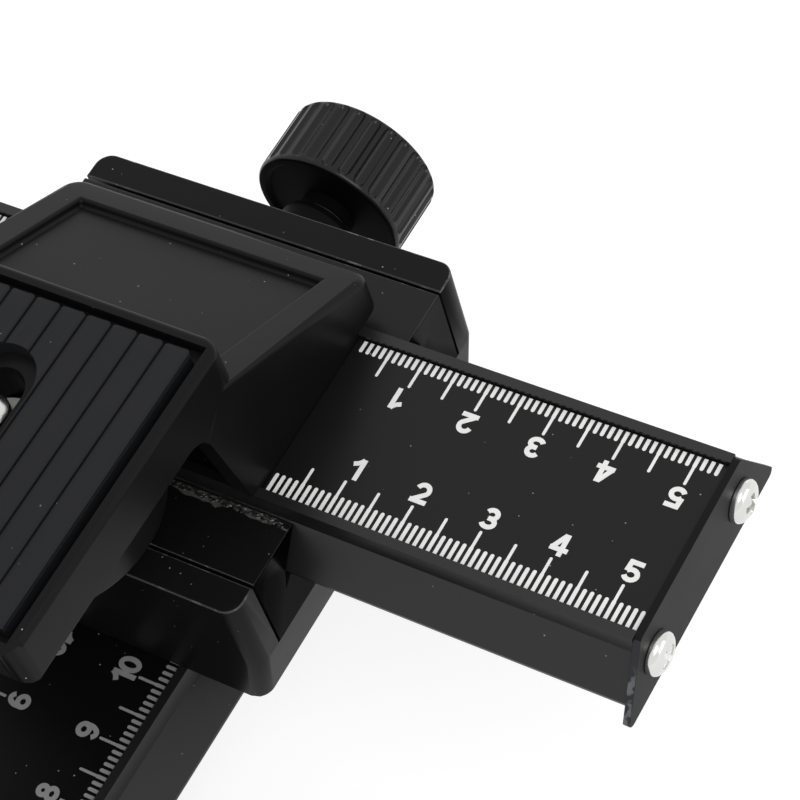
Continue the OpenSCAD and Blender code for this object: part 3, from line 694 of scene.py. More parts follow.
def trim_feet(shape: bmesh.types.BMesh) -> None:
    """Takes the small point off each lower corner of a carriage.

    The CAD's round corners end just above the bottom face, and this lets them reach it.

    Args:
        shape: The carriage, which is changed.
    """
    bottom = min(vert.co.z for vert in shape.verts) + 0.02 * MM
    feet = [vert.co for vert in shape.verts if vert.co.z < bottom]
    low = Vector([min(foot[axis] for foot in feet) for axis in range(3)])
    high = Vector([max(foot[axis] for foot in feet) for axis in range(3)])
    middle, half = (low + high) / 2, (high - low) / 2
    flat, other = (0, 1) if half.x > half.y else (1, 0)
    for side in (-1.0, 1.0):
        place, normal = middle.copy(), Vector((0.0, 0.0, 0.0))
        place[other] += side * (half[other] - CORNER_RADIUS)
        normal[other] = 1.0
        everything = [*shape.verts, *shape.edges, *shape.faces]
        bmesh.ops.bisect_plane(shape, geom=everything, dist=1e-6, plane_co=place, plane_no=normal)
    for vert in shape.verts:
        away = vert.co - middle
        at_side = abs(away[flat]) > half[flat] - 0.1 * MM
        if vert.co.z < bottom and at_side and abs(away[other]) > half[other] - 1.2 * MM:
            for axis, size in zip((flat, other), POINT_SIZE):
                vert.co[axis] -= math.copysign(size, away[axis])


LEAST_TURN = math.radians(26.0)  # an edge that turns less isn't rounded
SHARP_TURN = math.radians(40.0)  # an unrounded edge that turns more stays sharp
MOST_CORNERS = 8  # faces with more are cut into triangles, since they may reach round a hole


def softened(
    node: str,
    width: float,
    weight: Callable[[Vector, Vector], float] | None = None,
    segments: int = 3,
) -> bpy.types.Mesh:
    """A merged copy of a CAD node whose edges are rounded.

    Args:
        node: The CAD node.
        width: Width of the rounding, in metres.
        weight: Gives the share of the width for the edge between two points. Without it every edge has 1.
        segments: Faces across a rounding.

    Returns:
        The new mesh. Its rounded faces use the second material slot.
    """
    shape = bmesh.new()
    shape.from_mesh(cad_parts[node].data)
    bmesh.ops.remove_doubles(shape, verts=shape.verts, dist=2e-6)
    bmesh.ops.dissolve_limit(shape, angle_limit=math.radians(0.5), verts=shape.verts, edges=shape.edges)
    if node.endswith("_shell"):
        trim_feet(shape)
    bmesh.ops.triangulate(shape, faces=[face for face in shape.faces if len(face.verts) > MOST_CORNERS])
    layer = shape.edges.layers.float.new("bevel_weight_edge")
    for edge in shape.edges:
        turn = edge.calc_face_angle(0.0) if len(edge.link_faces) == 2 else 0.0
        if turn > LEAST_TURN:
            edge[layer] = weight(edge.verts[0].co, edge.verts[1].co) if weight else 1.0
            edge.smooth = edge[layer] > 0.0 or turn < SHARP_TURN
    mesh = bpy.data.meshes.new(node)
    shape.to_mesh(mesh)
    shape.free()
    mesh.materials.clear()
    for _ in range(2):
        mesh.materials.append(None)
    mesh.polygons.foreach_set("use_smooth", [True] * len(mesh.polygons))
    holder = linked("holder", mesh)
    bevel = holder.modifiers.new("edges", "BEVEL")
    bevel.limit_method = "WEIGHT"
    bevel.width = width
    bevel.segments = segments
    bevel.material = 1
    bevel.use_clamp_overlap = weight is None
    bevel.loop_slide = False
    holder.modifiers.new("shading", "WEIGHTED_NORMAL").keep_sharp = True
    return baked(holder)


def revolved(profile: Sequence[Point], steps: int) -> bpy.types.Mesh:
    """A closed solid of revolution round Z.

    Args:
        profile: Radius and height of each point, from the axis to the axis.
        steps: Faces round the axis.

    Returns:
        The mesh.
    """
    shape = bmesh.new()
    rings = []
    for radius, height in profile:
        if radius < 1e-7:
            rings.append([shape.verts.new((0.0, 0.0, height))])
            continue
        turns = [2 * math.pi * i / steps for i in range(steps)]
        rings.append([shape.verts.new((radius * math.cos(a), radius * math.sin(a), height)) for a in turns])
    for low, high in zip(rings, rings[1:]):
        for i in range(steps):
            j = (i + 1) % steps
            corners = [low[i % len(low)], low[j % len(low)], high[j % len(high)], high[i % len(high)]]
            unique = list(dict.fromkeys(corners))
            if len(unique) > 2:
                shape.faces.new(unique)
    return as_mesh(shape, "revolved")


def arc(centre: Point, radius: float, start: float, end: float, steps: int) -> list[Point]:
    """Points along an arc.

    Args:
        centre: The arc's centre.
        radius: Its radius.
        start: Its first angle, in degrees.
        end: Its last angle, in degrees.
        steps: The number of steps.

    Returns:
        The points, both ends included.
    """
    angles = [math.radians(start + (end - start) * i / steps) for i in range(steps + 1)]
    return [(centre[0] + radius * math.cos(a), centre[1] + radius * math.sin(a)) for a in angles]


def joined(meshes: Iterable[bpy.types.Mesh]) -> bpy.types.Mesh:
    """One mesh from several, which are removed.

    Args:
        meshes: The meshes, in the CAD's frame.

    Returns:
        The joined mesh.
    """
    shape = bmesh.new()
    for mesh in meshes:
        shape.from_mesh(mesh)
        bpy.data.meshes.remove(mesh)
    result = bpy.data.meshes.new("joined")
    shape.to_mesh(result)
    shape.free()
    return result


def without(mesh: bpy.types.Mesh, cutter: bpy.types.Mesh) -> bpy.types.Mesh:
    """A mesh less the space of another.

    Args:
        mesh: The mesh that is cut.
        cutter: A closed mesh.

    Returns:
        The new mesh.
    """
    body, tool = linked("cut", mesh), linked("cutter", cutter)
    change = body.modifiers.new("cut", "BOOLEAN")
    change.operation = "DIFFERENCE"
    change.solver = "EXACT"
    change.object = tool
    result = baked(body)
    bpy.data.objects.remove(tool)
    return result


# ---- Geometry Nodes ------------------------------------------------------------------------


class GeometryTree(NodeGraph):
    """Builds a Geometry Nodes tree and runs it once."""

    def __init__(self, name: str) -> None:
        """Makes an empty tree.

        Args:
            name: The tree's name.
        """
        super().__init__(bpy.data.node_groups.new(name, "GeometryNodeTree"))
        self.begin = self.tree.nodes.new("NodeGroupInput")
        self.values: dict[str, object] = {}

    def size(self, name: str, value: object, kind: str = "Float") -> Socket:
        """Adds a named input.

        Args:
            name: The input's name.
            value: The value that it gets.
            kind: The last word of the socket's type.

        Returns:
            The value in the tree.
        """
        item = self.tree.interface.new_socket(name, in_out="INPUT", socket_type=f"NodeSocket{kind}")
        self.values[item.identifier] = value
        return Socket(self, self.begin.outputs[name])

    def vector(self, x: Socket | float, y: Socket | float, z: Socket | float) -> Socket:
        """A vector of three numbers or sockets."""
        return self.node("ShaderNodeCombineXYZ", None, {0: x, 1: y, 2: z})

    def line(self, count: Socket, offset: Socket | Place, start: Place = (0.0, 0.0, 0.0)) -> Socket:
        """Points in a row.

        Args:
            count: Their number.
            offset: The way from each to the next.
            start: The first one's place.

        Returns:
            The points.
        """
        inputs = {"Count": count, "Start Location": start, "Offset": offset}
        return self.node("GeometryNodeMeshLine", {"mode": "OFFSET"}, inputs)

    def copies(self, points: Socket, shape: Socket, **inputs: object) -> Socket:
        """Copies of a shape on points.

        Args:
            points: The points.
            shape: The shape.
            inputs: The node's other inputs.

        Returns:
            The instances.
        """
        inputs = {"Points": points, "Instance": shape, **inputs}
        return self.node("GeometryNodeInstanceOnPoints", None, inputs)

    def run(self, shape: Socket, finish: Finish) -> bpy.types.Mesh:
        """Ends the tree and turns its result into a plain mesh.

        Args:
            shape: The geometry that the tree gives.
            finish: The finish that it gets.

        Returns:
            The mesh.
        """
        real = self.node("GeometryNodeRealizeInstances", None, {0: shape})
        coat = self.size("Material", finish.material(), "Material")
        dressed = self.node("GeometryNodeSetMaterial", None, {0: real, 2: coat})
        self.tree.interface.new_socket("Geometry", in_out="OUTPUT", socket_type="NodeSocketGeometry")
        end = self.tree.nodes.new("NodeGroupOutput")
        self.tree.links.new(dressed.link, end.inputs[0])
        holder = linked("holder", bpy.data.meshes.new("holder"))
        modifier = holder.modifiers.new("build", "NODES")
        modifier.node_group = self.tree
        for identifier, value in self.values.items():
            modifier[identifier] = value
        return baked(holder)


# ---- Scale marks ---------------------------------------------------------------------------


@dataclass(frozen=True)
class Ticks:
    """A row of scale marks along X, whose roots lie on the X axis and whose tips point along Y."""

    count: int
    first: int
    short: float
    long: float
    pitch: float = 1.0 * MM
    width: float = 0.53 * MM
    narrow: float = 0.41 * MM
    height: float = 0.03 * MM

    def build(self) -> bpy.types.Mesh:
        """Makes the marks. Each fifth has a narrower, longer stroke on it.

        Returns:
            The mesh of all marks.
        """
        tree = GeometryTree("scale_marks")
        count = tree.size("Count", self.count, "Int")
        first = tree.size("First", self.first, "Int")
        pitch = tree.size("Pitch", self.pitch)
        height = tree.size("Height", self.height)
        short = tree.size("Short", self.short), tree.size("Width", self.width)
        long = tree.size("Long", self.long), tree.size("Narrow width", self.narrow)
        number = tree.node("GeometryNodeInputIndex") + first
        fifth = number.math("MODULO", 5.0).math("COMPARE", 0.0, 0.1)
        line = tree.line(count, tree.vector(pitch, 0.0, 0.0))
        # The long strokes and the round tips lie a hair lower, so that no two faces share a plane
        parts = [
            *self.strokes(tree, line, True, *short, (height, height * 0.93)),
            *self.strokes(tree, line, fifth, *long, (height * 0.86, height * 0.79)),
        ]
        return tree.run(tree.node("GeometryNodeJoinGeometry", None, {0: parts}), Finish.MARKS)

    @staticmethod
    def strokes(
        tree: GeometryTree,
        line: Socket,
        chosen: Socket | bool,
        length: Socket,
        width: Socket,
        heights: tuple[Socket, Socket],
    ) -> list[Socket]:
        """Adds a bar and a round tip at each chosen point.

        Args:
            tree: The tree.
            line: The points.
            chosen: Which points get a stroke.
            length: Length of a stroke.
            width: Width of a stroke.
            heights: Thickness of the bar and of the tip.

        Returns:
            The instances of the bars and of the tips.
        """
        straight = length - width * 0.5
        box = tree.node("GeometryNodeMeshCube", None, {"Size": EVEN})
        box = tree.node("GeometryNodeTransform", None, {"Geometry": box, "Translation": (0.0, 0.5, 0.5)})
        tip = tree.node("GeometryNodeMeshCylinder", None, {"Vertices": 12, "Radius": 0.5, "Depth": 1.0})
        tip = tree.node("GeometryNodeTransform", None, {"Geometry": tip, "Translation": (0.0, 0.0, 0.5)})
        offset = tree.vector(0.0, straight, 0.0)
        away = tree.node("GeometryNodeSetPosition", None, {"Geometry": line, "Offset": offset})
        return [
            tree.copies(line, box, Selection=chosen, Scale=tree.vector(width, straight, heights[0])),
            tree.copies(away, tip, Selection=chosen, Scale=tree.vector(width, width, heights[1])),
        ]


@dataclass(frozen=True)
class Stroke:
    """One pen stroke of a digit: centre line points, in digit heights."""

    points: tuple[Point, ...]
    closed: bool = False


def oval(
    x: float, y: float, wide: float, tall: float, start: float, end: float, steps: int = 14
) -> tuple[Point, ...]:
    """Points along part of an oval.

    Args:
        x: Centre across.
        y: Centre up.
        wide: Half the width.
        tall: Half the height.
        start: First angle in degrees.
        end: Last angle in degrees.
        steps: The number of steps.

    Returns:
        The points.
    """
    return tuple((x + wide * px, y + tall * py) for px, py in arc((0.0, 0.0), 1.0, start, end, steps))


def ring(x: float, y: float, wide: float, tall: float) -> Stroke:
    """A closed oval stroke."""
    return Stroke(oval(x, y, wide, tall, 0.0, 345.0, 23), True)


DIGITS: dict[str, tuple[Stroke, ...]] = {
    "0": (ring(0.39, 0.5, 0.265, 0.385),),
    "1": (
        Stroke(((0.50, 0.0), (0.50, 1.0))),
        Stroke(((0.10, 0.68), (0.28, 0.76), (0.40, 0.86), (0.48, 0.98))),
    ),
    "2": (
        Stroke((*oval(0.38, 0.64, 0.255, 0.245, 168.0, -32.0), (0.17, 0.17), (0.14, 0.10))),
        Stroke(((0.01, 0.12), (0.76, 0.12))),
    ),
    "3": (
        Stroke(oval(0.38, 0.69, 0.23, 0.195, 160.0, -88.0)),
        Stroke(oval(0.38, 0.31, 0.265, 0.195, 88.0, -160.0)),
        Stroke(((0.28, 0.50), (0.44, 0.50))),
    ),
    "4": (
        Stroke(((0.52, 0.0), (0.52, 1.0))),
        Stroke(((0.47, 0.96), (0.12, 0.32))),
        Stroke(((0.01, 0.30), (0.79, 0.30))),
    ),
    "5": (
        Stroke(((0.12, 0.88), (0.72, 0.88))),
        Stroke(((0.19, 0.96), (0.15, 0.46))),
        Stroke(oval(0.38, 0.34, 0.265, 0.225, 146.0, -158.0)),
    ),
    "6": (ring(0.39, 0.335, 0.265, 0.215), Stroke(oval(0.40, 0.50, 0.275, 0.385, 42.0, 205.0))),
    "7": (Stroke(((0.02, 0.88), (0.74, 0.88))), Stroke(((0.66, 0.86), (0.42, 0.46), (0.32, 0.0)))),
    "8": (ring(0.39, 0.70, 0.215, 0.18), ring(0.39, 0.315, 0.265, 0.195)),
    "9": (ring(0.39, 0.665, 0.265, 0.215), Stroke(oval(0.38, 0.50, 0.275, 0.385, 222.0, 385.0))),
}
DIGIT_WIDTH = 0.78  # in digit heights, as the strokes' points are
DIGIT_WIDTHS = {"1": 0.56}
DIGIT_GAP = 0.05


@dataclass(frozen=True)
class Number:
    """A number of a scale, in flat bold strokes."""

    text: str
    tall: float = 3.25 * MM
    wide: float = 2.5 * MM
    pen: float = 0.68 * MM
    height: float = 0.03 * MM

    def build(self, place: Matrix) -> bpy.types.Mesh:
        """Makes the number, centred on the origin of place.

        Args:
            place: Where the number goes, with X across it and Y up.

        Returns:
            The mesh.
        """
        shape = bmesh.new()
        widths = [DIGIT_WIDTHS.get(digit, DIGIT_WIDTH) for digit in self.text]
        left = -(sum(widths) + DIGIT_GAP * (len(widths) - 1)) / 2
        for digit, width in zip(self.text, widths):
            for layer, stroke in enumerate(DIGITS[digit]):
                self.sweep(shape, stroke, left, self.height * (1.0 - 0.06 * layer))
            left += width + DIGIT_GAP
        return as_mesh(shape, "number", place)

    def sweep(self, shape: bmesh.types.BMesh, stroke: Stroke, left: float, height: float) -> None:
        """Adds one stroke as a flat bar.

        Args:
            shape: The mesh that it is added to.
            stroke: The stroke.
            left: Where the digit begins, in digit heights.
            height: The thickness of the bar.
        """
        scale = self.wide / DIGIT_WIDTH
        points = [Vector(((x + left) * scale, (y - 0.5) * self.tall)) for x, y in stroke.points]
        count = len(points)
        rows = []
        for i, point in enumerate(points):
            before = points[i - 1] if i or stroke.closed else point
            after = points[(i + 1) % count] if i + 1 < count or stroke.closed else point
            along = (after - before).normalized()
            side = Vector((-along.y, along.x)) * self.pen / 2
            left_edge, right_edge = point + side, point - side
            corners = ((left_edge, height), (right_edge, height), (right_edge, 0.0), (left_edge, 0.0))
            rows.append([(p.x, p.y, z) for p, z in corners])
        lofted(shape, rows, stroke.closed)


@dataclass(frozen=True)
class ScaleRow:
    """One row of marks with its numbers, as printed: distances from the rail's centre line."""

    root: float
    short: float
    long: float
    numbers: float
    shift: float = 0.0
    number_shift: float = 0.0


@dataclass
class Scales:
    """The marks and numbers on both rails."""

    upper_y: float = 83.03 * MM
    upper_z: float = 55.1 * MM
    lower_z: float = 27.2 * MM
    upper_zero: float = 24.57 * MM
    lower_zero: float = -49.95 * MM
    near: ScaleRow = ScaleRow(12.74 * MM, 9.75 * MM, 7.37 * MM, 5.35 * MM, -0.20 * MM, -0.03 * MM)
    far: ScaleRow = ScaleRow(12.55 * MM, 10.75 * MM, 8.12 * MM, 6.12 * MM, 0.25 * MM, 0.12 * MM)
    side: ScaleRow = ScaleRow(12.60 * MM, 10.75 * MM, 8.0 * MM, 5.85 * MM, 0.0, 0.2 * MM)

    @staticmethod
    def place(x: float, y: float, z: float, turn: float) -> Matrix:
        """A place on a scale plate.

        Args:
            x: Place along X.
            y: Place along Y.
            z: Height.
            turn: Turn about Z, in degrees.

        Returns:
            The matrix.
        """
        return Matrix.Translation((x, y, z)) @ Matrix.Rotation(math.radians(turn), 4, "Z")

    @staticmethod
    def marks(row: ScaleRow, count: int, first: int, place: Matrix) -> bpy.types.Mesh:
        """A row of ticks in its place.

        Args:
            row: The row as printed.
            count: The number of ticks.
            first: The value at the first one, in millimetres.
            place: Where the first tick's root is.

        Returns:
            The mesh.
        """
        mesh = Ticks(count, first % 5, row.root - row.short, row.root - row.long).build()
        mesh.transform(place)
        return mesh

    def upper(self) -> bpy.types.Object:
        """Builds the four rows of the upper rail, up to 54 mm on each side of the platform.

        Returns:
            The piece.
        """
        parts = []
        for row, side, turn, last in ((self.near, -1, 0, 54), (self.far, 1, 180, 53)):
            y = self.upper_y + side * row.root
            start, end = (self.upper_zero + row.shift + value * MM for value in (1, last))
            right, left = (start, -end) if turn == 0 else (end, -start)
            outward, inward = (1, -last) if turn == 0 else (-last, 1)
            parts.append(self.marks(row, last, outward, self.place(right, y, self.upper_z, turn)))
            parts.append(self.marks(row, last, inward, self.place(left, y, self.upper_z, turn)))
            for value in range(1, 6):
                for half in (-1, 1):
                    x = half * (self.upper_zero + value * 10 * MM) + row.number_shift
                    spot = self.place(x, self.upper_y + side * row.numbers, self.upper_z, turn)
                    parts.append(Number(str(value)).build(spot))
        piece = new_piece("upper_marks", joined(parts), Finish.MARKS)
        return settle(piece, "upper_slide", "nylon")

    def lower(self) -> bpy.types.Object:
        """Builds the two rows of the lower rail, which show the same values.

        Returns:
            The piece.
        """
        first, last = -3, 153
        row = self.side
        low, high = self.lower_zero + first * MM, self.lower_zero + last * MM
        count = last - first + 1
        parts = [
            self.marks(row, count, first, self.place(row.root, low, self.lower_z, 90)),
            self.marks(row, count, -last, self.place(-row.root, high, self.lower_z, -90)),
        ]
        for value in range(16):
            number = Number(str(value), tall=3.72 * MM, wide=2.45 * MM, pen=0.76 * MM)
            y = self.lower_zero + value * 10 * MM + row.number_shift
            parts.append(number.build(self.place(row.numbers, y, self.lower_z, 90)))
            parts.append(number.build(self.place(-row.numbers, y, self.lower_z, -90)))
        # painted shade: the lower marks take a grey copy of the white mark paint
        piece = new_piece("lower_marks", joined(parts), Finish.LOWER_MARKS)
        return settle(piece, "lower_slide", "nylon")


# ---- Adjusting knobs -----------------------------------------------------------------------


@dataclass
class AdjustingKnob:
    """A fluted knob on a pinion's shaft. Its axis is Z until it is placed, with its inner face at 0."""

    name: str
    body: str
    node: str
    place: Matrix
    finish: Finish
    radius: float = 11.65 * MM
    length: float = 11.5 * MM
    depth: float = 0.60 * MM
    flutes: int = 28
    half_width: float = 0.86 * MM
    flute_start: float = 1.45 * MM
    flute_end: float = 1.1 * MM
    edge: float = 0.7 * MM
    hub: float = 4.2 * MM
    bore: float = 2.53 * MM
    hub_start: float = -1.3 * MM
    columns: int = 16

    def profile(self) -> list[Point]:
        """The section of the knob before its flutes are cut.

        Returns:
            Radius and height of each point, from the axis to the axis.
        """
        end, dish = self.length, 0.5 * MM
        rim = self.radius - self.edge
        flat = rim - 0.6 * MM
        fine = [0.12 * MM * i for i in range(1, 10)]
        coarse = [self.edge + fine[-1] + 0.8 * MM * i for i in range(1, 10)]
        coarse = [height for height in coarse if height < end - self.edge - fine[-1] - 0.3 * MM]
        heights = [self.edge + step for step in fine] + coarse
        heights += [end - self.edge - step for step in fine[::-1]]
        return [
            (0.0, end - 3.2 * MM),
            (self.bore, end - 3.2 * MM),
            (self.bore, self.hub_start),
            (self.hub - 0.3 * MM, self.hub_start),
            (self.hub, self.hub_start + 0.3 * MM),
            (self.hub, dish),
            (flat - dish, dish),
            (flat, 0.0),
            *arc((rim, self.edge), self.edge, -90.0, 0.0, 8),
            *[(self.radius, height) for height in heights],
            *arc((rim, end - self.edge), self.edge, 0.0, 90.0, 8),
            (self.radius * 0.70, end),
            (self.radius * 0.65, end - 0.35 * MM),
            (0.0, end - 0.35 * MM),
        ]

    def cut(self, across: float, height: float, radius: float) -> float:
        """The depth of the nearest flute.

        Args:
            across: Distance from the flute's middle line, round the knob.
            height: Height over the inner face.
            radius: Distance from the axis before the flute is cut.

        Returns:
            The depth at that place. A flute has a round end on both sides.
        """
        left = (radius - self.radius + self.edge) / self.edge
        beyond = max(0.0, self.flute_start - height, height - self.length + self.flute_end)
        away = math.hypot(across, beyond) / self.half_width
        return self.depth * min(1.0, left) * math.sqrt(max(0.0, 1.0 - away * away))

    def wedge(self) -> bpy.types.Object:
        """One of the equal wedges that the knob is made of, with one flute in its middle.

        Returns:
            The wedge, a helper that isn't part of the object.
        """
        shape = bmesh.new()
        step = 2 * math.pi / self.flutes
        rows = []
        for radius, height in self.profile():
            row = []
            for column in range(self.columns + 1):
                turn = step * (column / self.columns - 0.5)
                outer = radius > self.radius - self.edge and height > 0.4 * MM
                reach = radius - (self.cut(turn * self.radius, height, radius) if outer else 0.0)
                row.append(shape.verts.new((reach * math.cos(turn), reach * math.sin(turn), height)))
            rows.append(row)
        for low, high in zip(rows, rows[1:]):
            for k in range(self.columns):
                shape.faces.new((low[k], low[k + 1], high[k + 1], high[k]))
        return linked("wedge", as_mesh(shape, "wedge"))

    def build(self) -> bpy.types.Object:
        """Builds the knob and lets it ride.

        Returns:
            The piece.
        """
        wedge = self.wedge()
        tree = GeometryTree("fluted_knob")
        count = tree.size("Flutes", self.flutes, "Int")
        source = tree.size("Wedge", wedge, "Object")
        shape = tree.node("GeometryNodeObjectInfo", None, {"Object": source}, "Geometry")
        turn = tree.node("GeometryNodeInputIndex") * (2 * math.pi / count)
        spots = tree.line(count, (0.0, 0.0, 0.0))
        mesh = tree.run(tree.copies(spots, shape, Rotation=tree.vector(0.0, 0.0, turn)), self.finish)
        bpy.data.objects.remove(wedge)
        closed = bmesh.new()
        closed.from_mesh(mesh)
        bmesh.ops.remove_doubles(closed, verts=closed.verts, dist=1e-6)
        bmesh.ops.dissolve_degenerate(closed, dist=1e-7, edges=closed.edges)
        bmesh.ops.recalc_face_normals(closed, faces=closed.faces)
        # the inner face, dish and hub take the knob face finish, which is more matt and painted darker for
        # the shade they lie in
        for face in closed.faces:
            middle = face.calc_center_median()
            inside = math.hypot(middle.x, middle.y) < self.radius - self.edge
            face.material_index = int(middle.z < 0.12 * MM or (inside and middle.z < 0.6 * MM))
        closed.transform(self.place)
        closed.to_mesh(mesh)
        closed.free()
        smooth(mesh, 32.0)
        piece = new_piece(self.name, mesh, self.finish, Finish.KNOB_FACE)
        return settle(piece, self.body, "knob_black", self.node)


# ---- Screws --------------------------------------------------------------------------------


@dataclass
class PanScrews:
    """The pan-head screws of a rail's end plates."""

    name: str
    body: str
    node: str
    heads: list[Matrix]
    radius: float = 3.0 * MM
    height: float = 1.95 * MM
    shank: float = 1.25 * MM
    depth: float = 5.8 * MM
    recess_top: Point = (2.1 * MM, 0.55 * MM)
    recess_end: Point = (0.7 * MM, 0.26 * MM)
    recess_depth: float = 1.45 * MM
    first_turn: float = 0.35
    next_turn: float = 0.9

    def blade(self, turn: float) -> bpy.types.Mesh:
        """One of the two tapered blades that cut the cross recess.

        Args:
            turn: Its turn about the screw's axis.

        Returns:
            The mesh.
        """
        shape = bmesh.new()
        top, bottom = self.height + 0.5 * MM, self.height - self.recess_depth
        rotate = Matrix.Rotation(turn, 3, "Z")
        rows = []
        for (long, wide), z in ((self.recess_top, top), (self.recess_end, bottom)):
            corners = ((long, wide), (-long, wide), (-long, -wide), (long, -wide))
            rows.append([rotate @ Vector((x, y, z)) for x, y in corners])
        lofted(shape, rows)
        return as_mesh(shape, "cross")

    def head(self) -> bpy.types.Mesh:
        """One screw with its recess, pointing along Z.

        Returns:
            The mesh.
        """
        r, h = self.radius, self.height
        profile = [
            (0.0, -self.depth),
            (self.shank - 0.2 * MM, -self.depth),
            (self.shank, -self.depth + 0.2 * MM),
            (self.shank, 0.0),
            (r - 0.1 * MM, 0.0),
            (r, 0.1 * MM),
            (r, 0.35 * h),
            (0.985 * r, 0.46 * h),
            (0.93 * r, 0.60 * h),
            (0.83 * r, 0.73 * h),
            (0.68 * r, 0.85 * h),
            (0.48 * r, 0.94 * h),
            (0.25 * r, 0.99 * h),
            (0.0, h),
        ]
        whole = revolved(profile, 48)
        for turn in (self.first_turn, self.first_turn + math.pi / 2):
            whole = without(whole, self.blade(turn))
        return whole

    def build(self) -> bpy.types.Object:
        """Builds all screws as one piece.

        Returns:
            The piece.
        """
        first = self.head()
        parts = []
        for index, place in enumerate(self.heads):
            mesh = first.copy()
            mesh.transform(place @ Matrix.Rotation(self.next_turn * index, 4, "Z"))
            parts.append(mesh)
        mesh = joined(parts)
        smooth(mesh, 32.0)
        piece = new_piece(self.name, mesh, Finish.CHROME)
        return settle(piece, self.body, "chrome", self.node)


# ---- Camera platform -----------------------------------------------------------------------


RIM_SHARE, SLOPE_SHARE, PANEL_SHARE, SIDE_SHARE = 0.75, 0.85, 0.42, 0.25  # of the platform's largest rounding


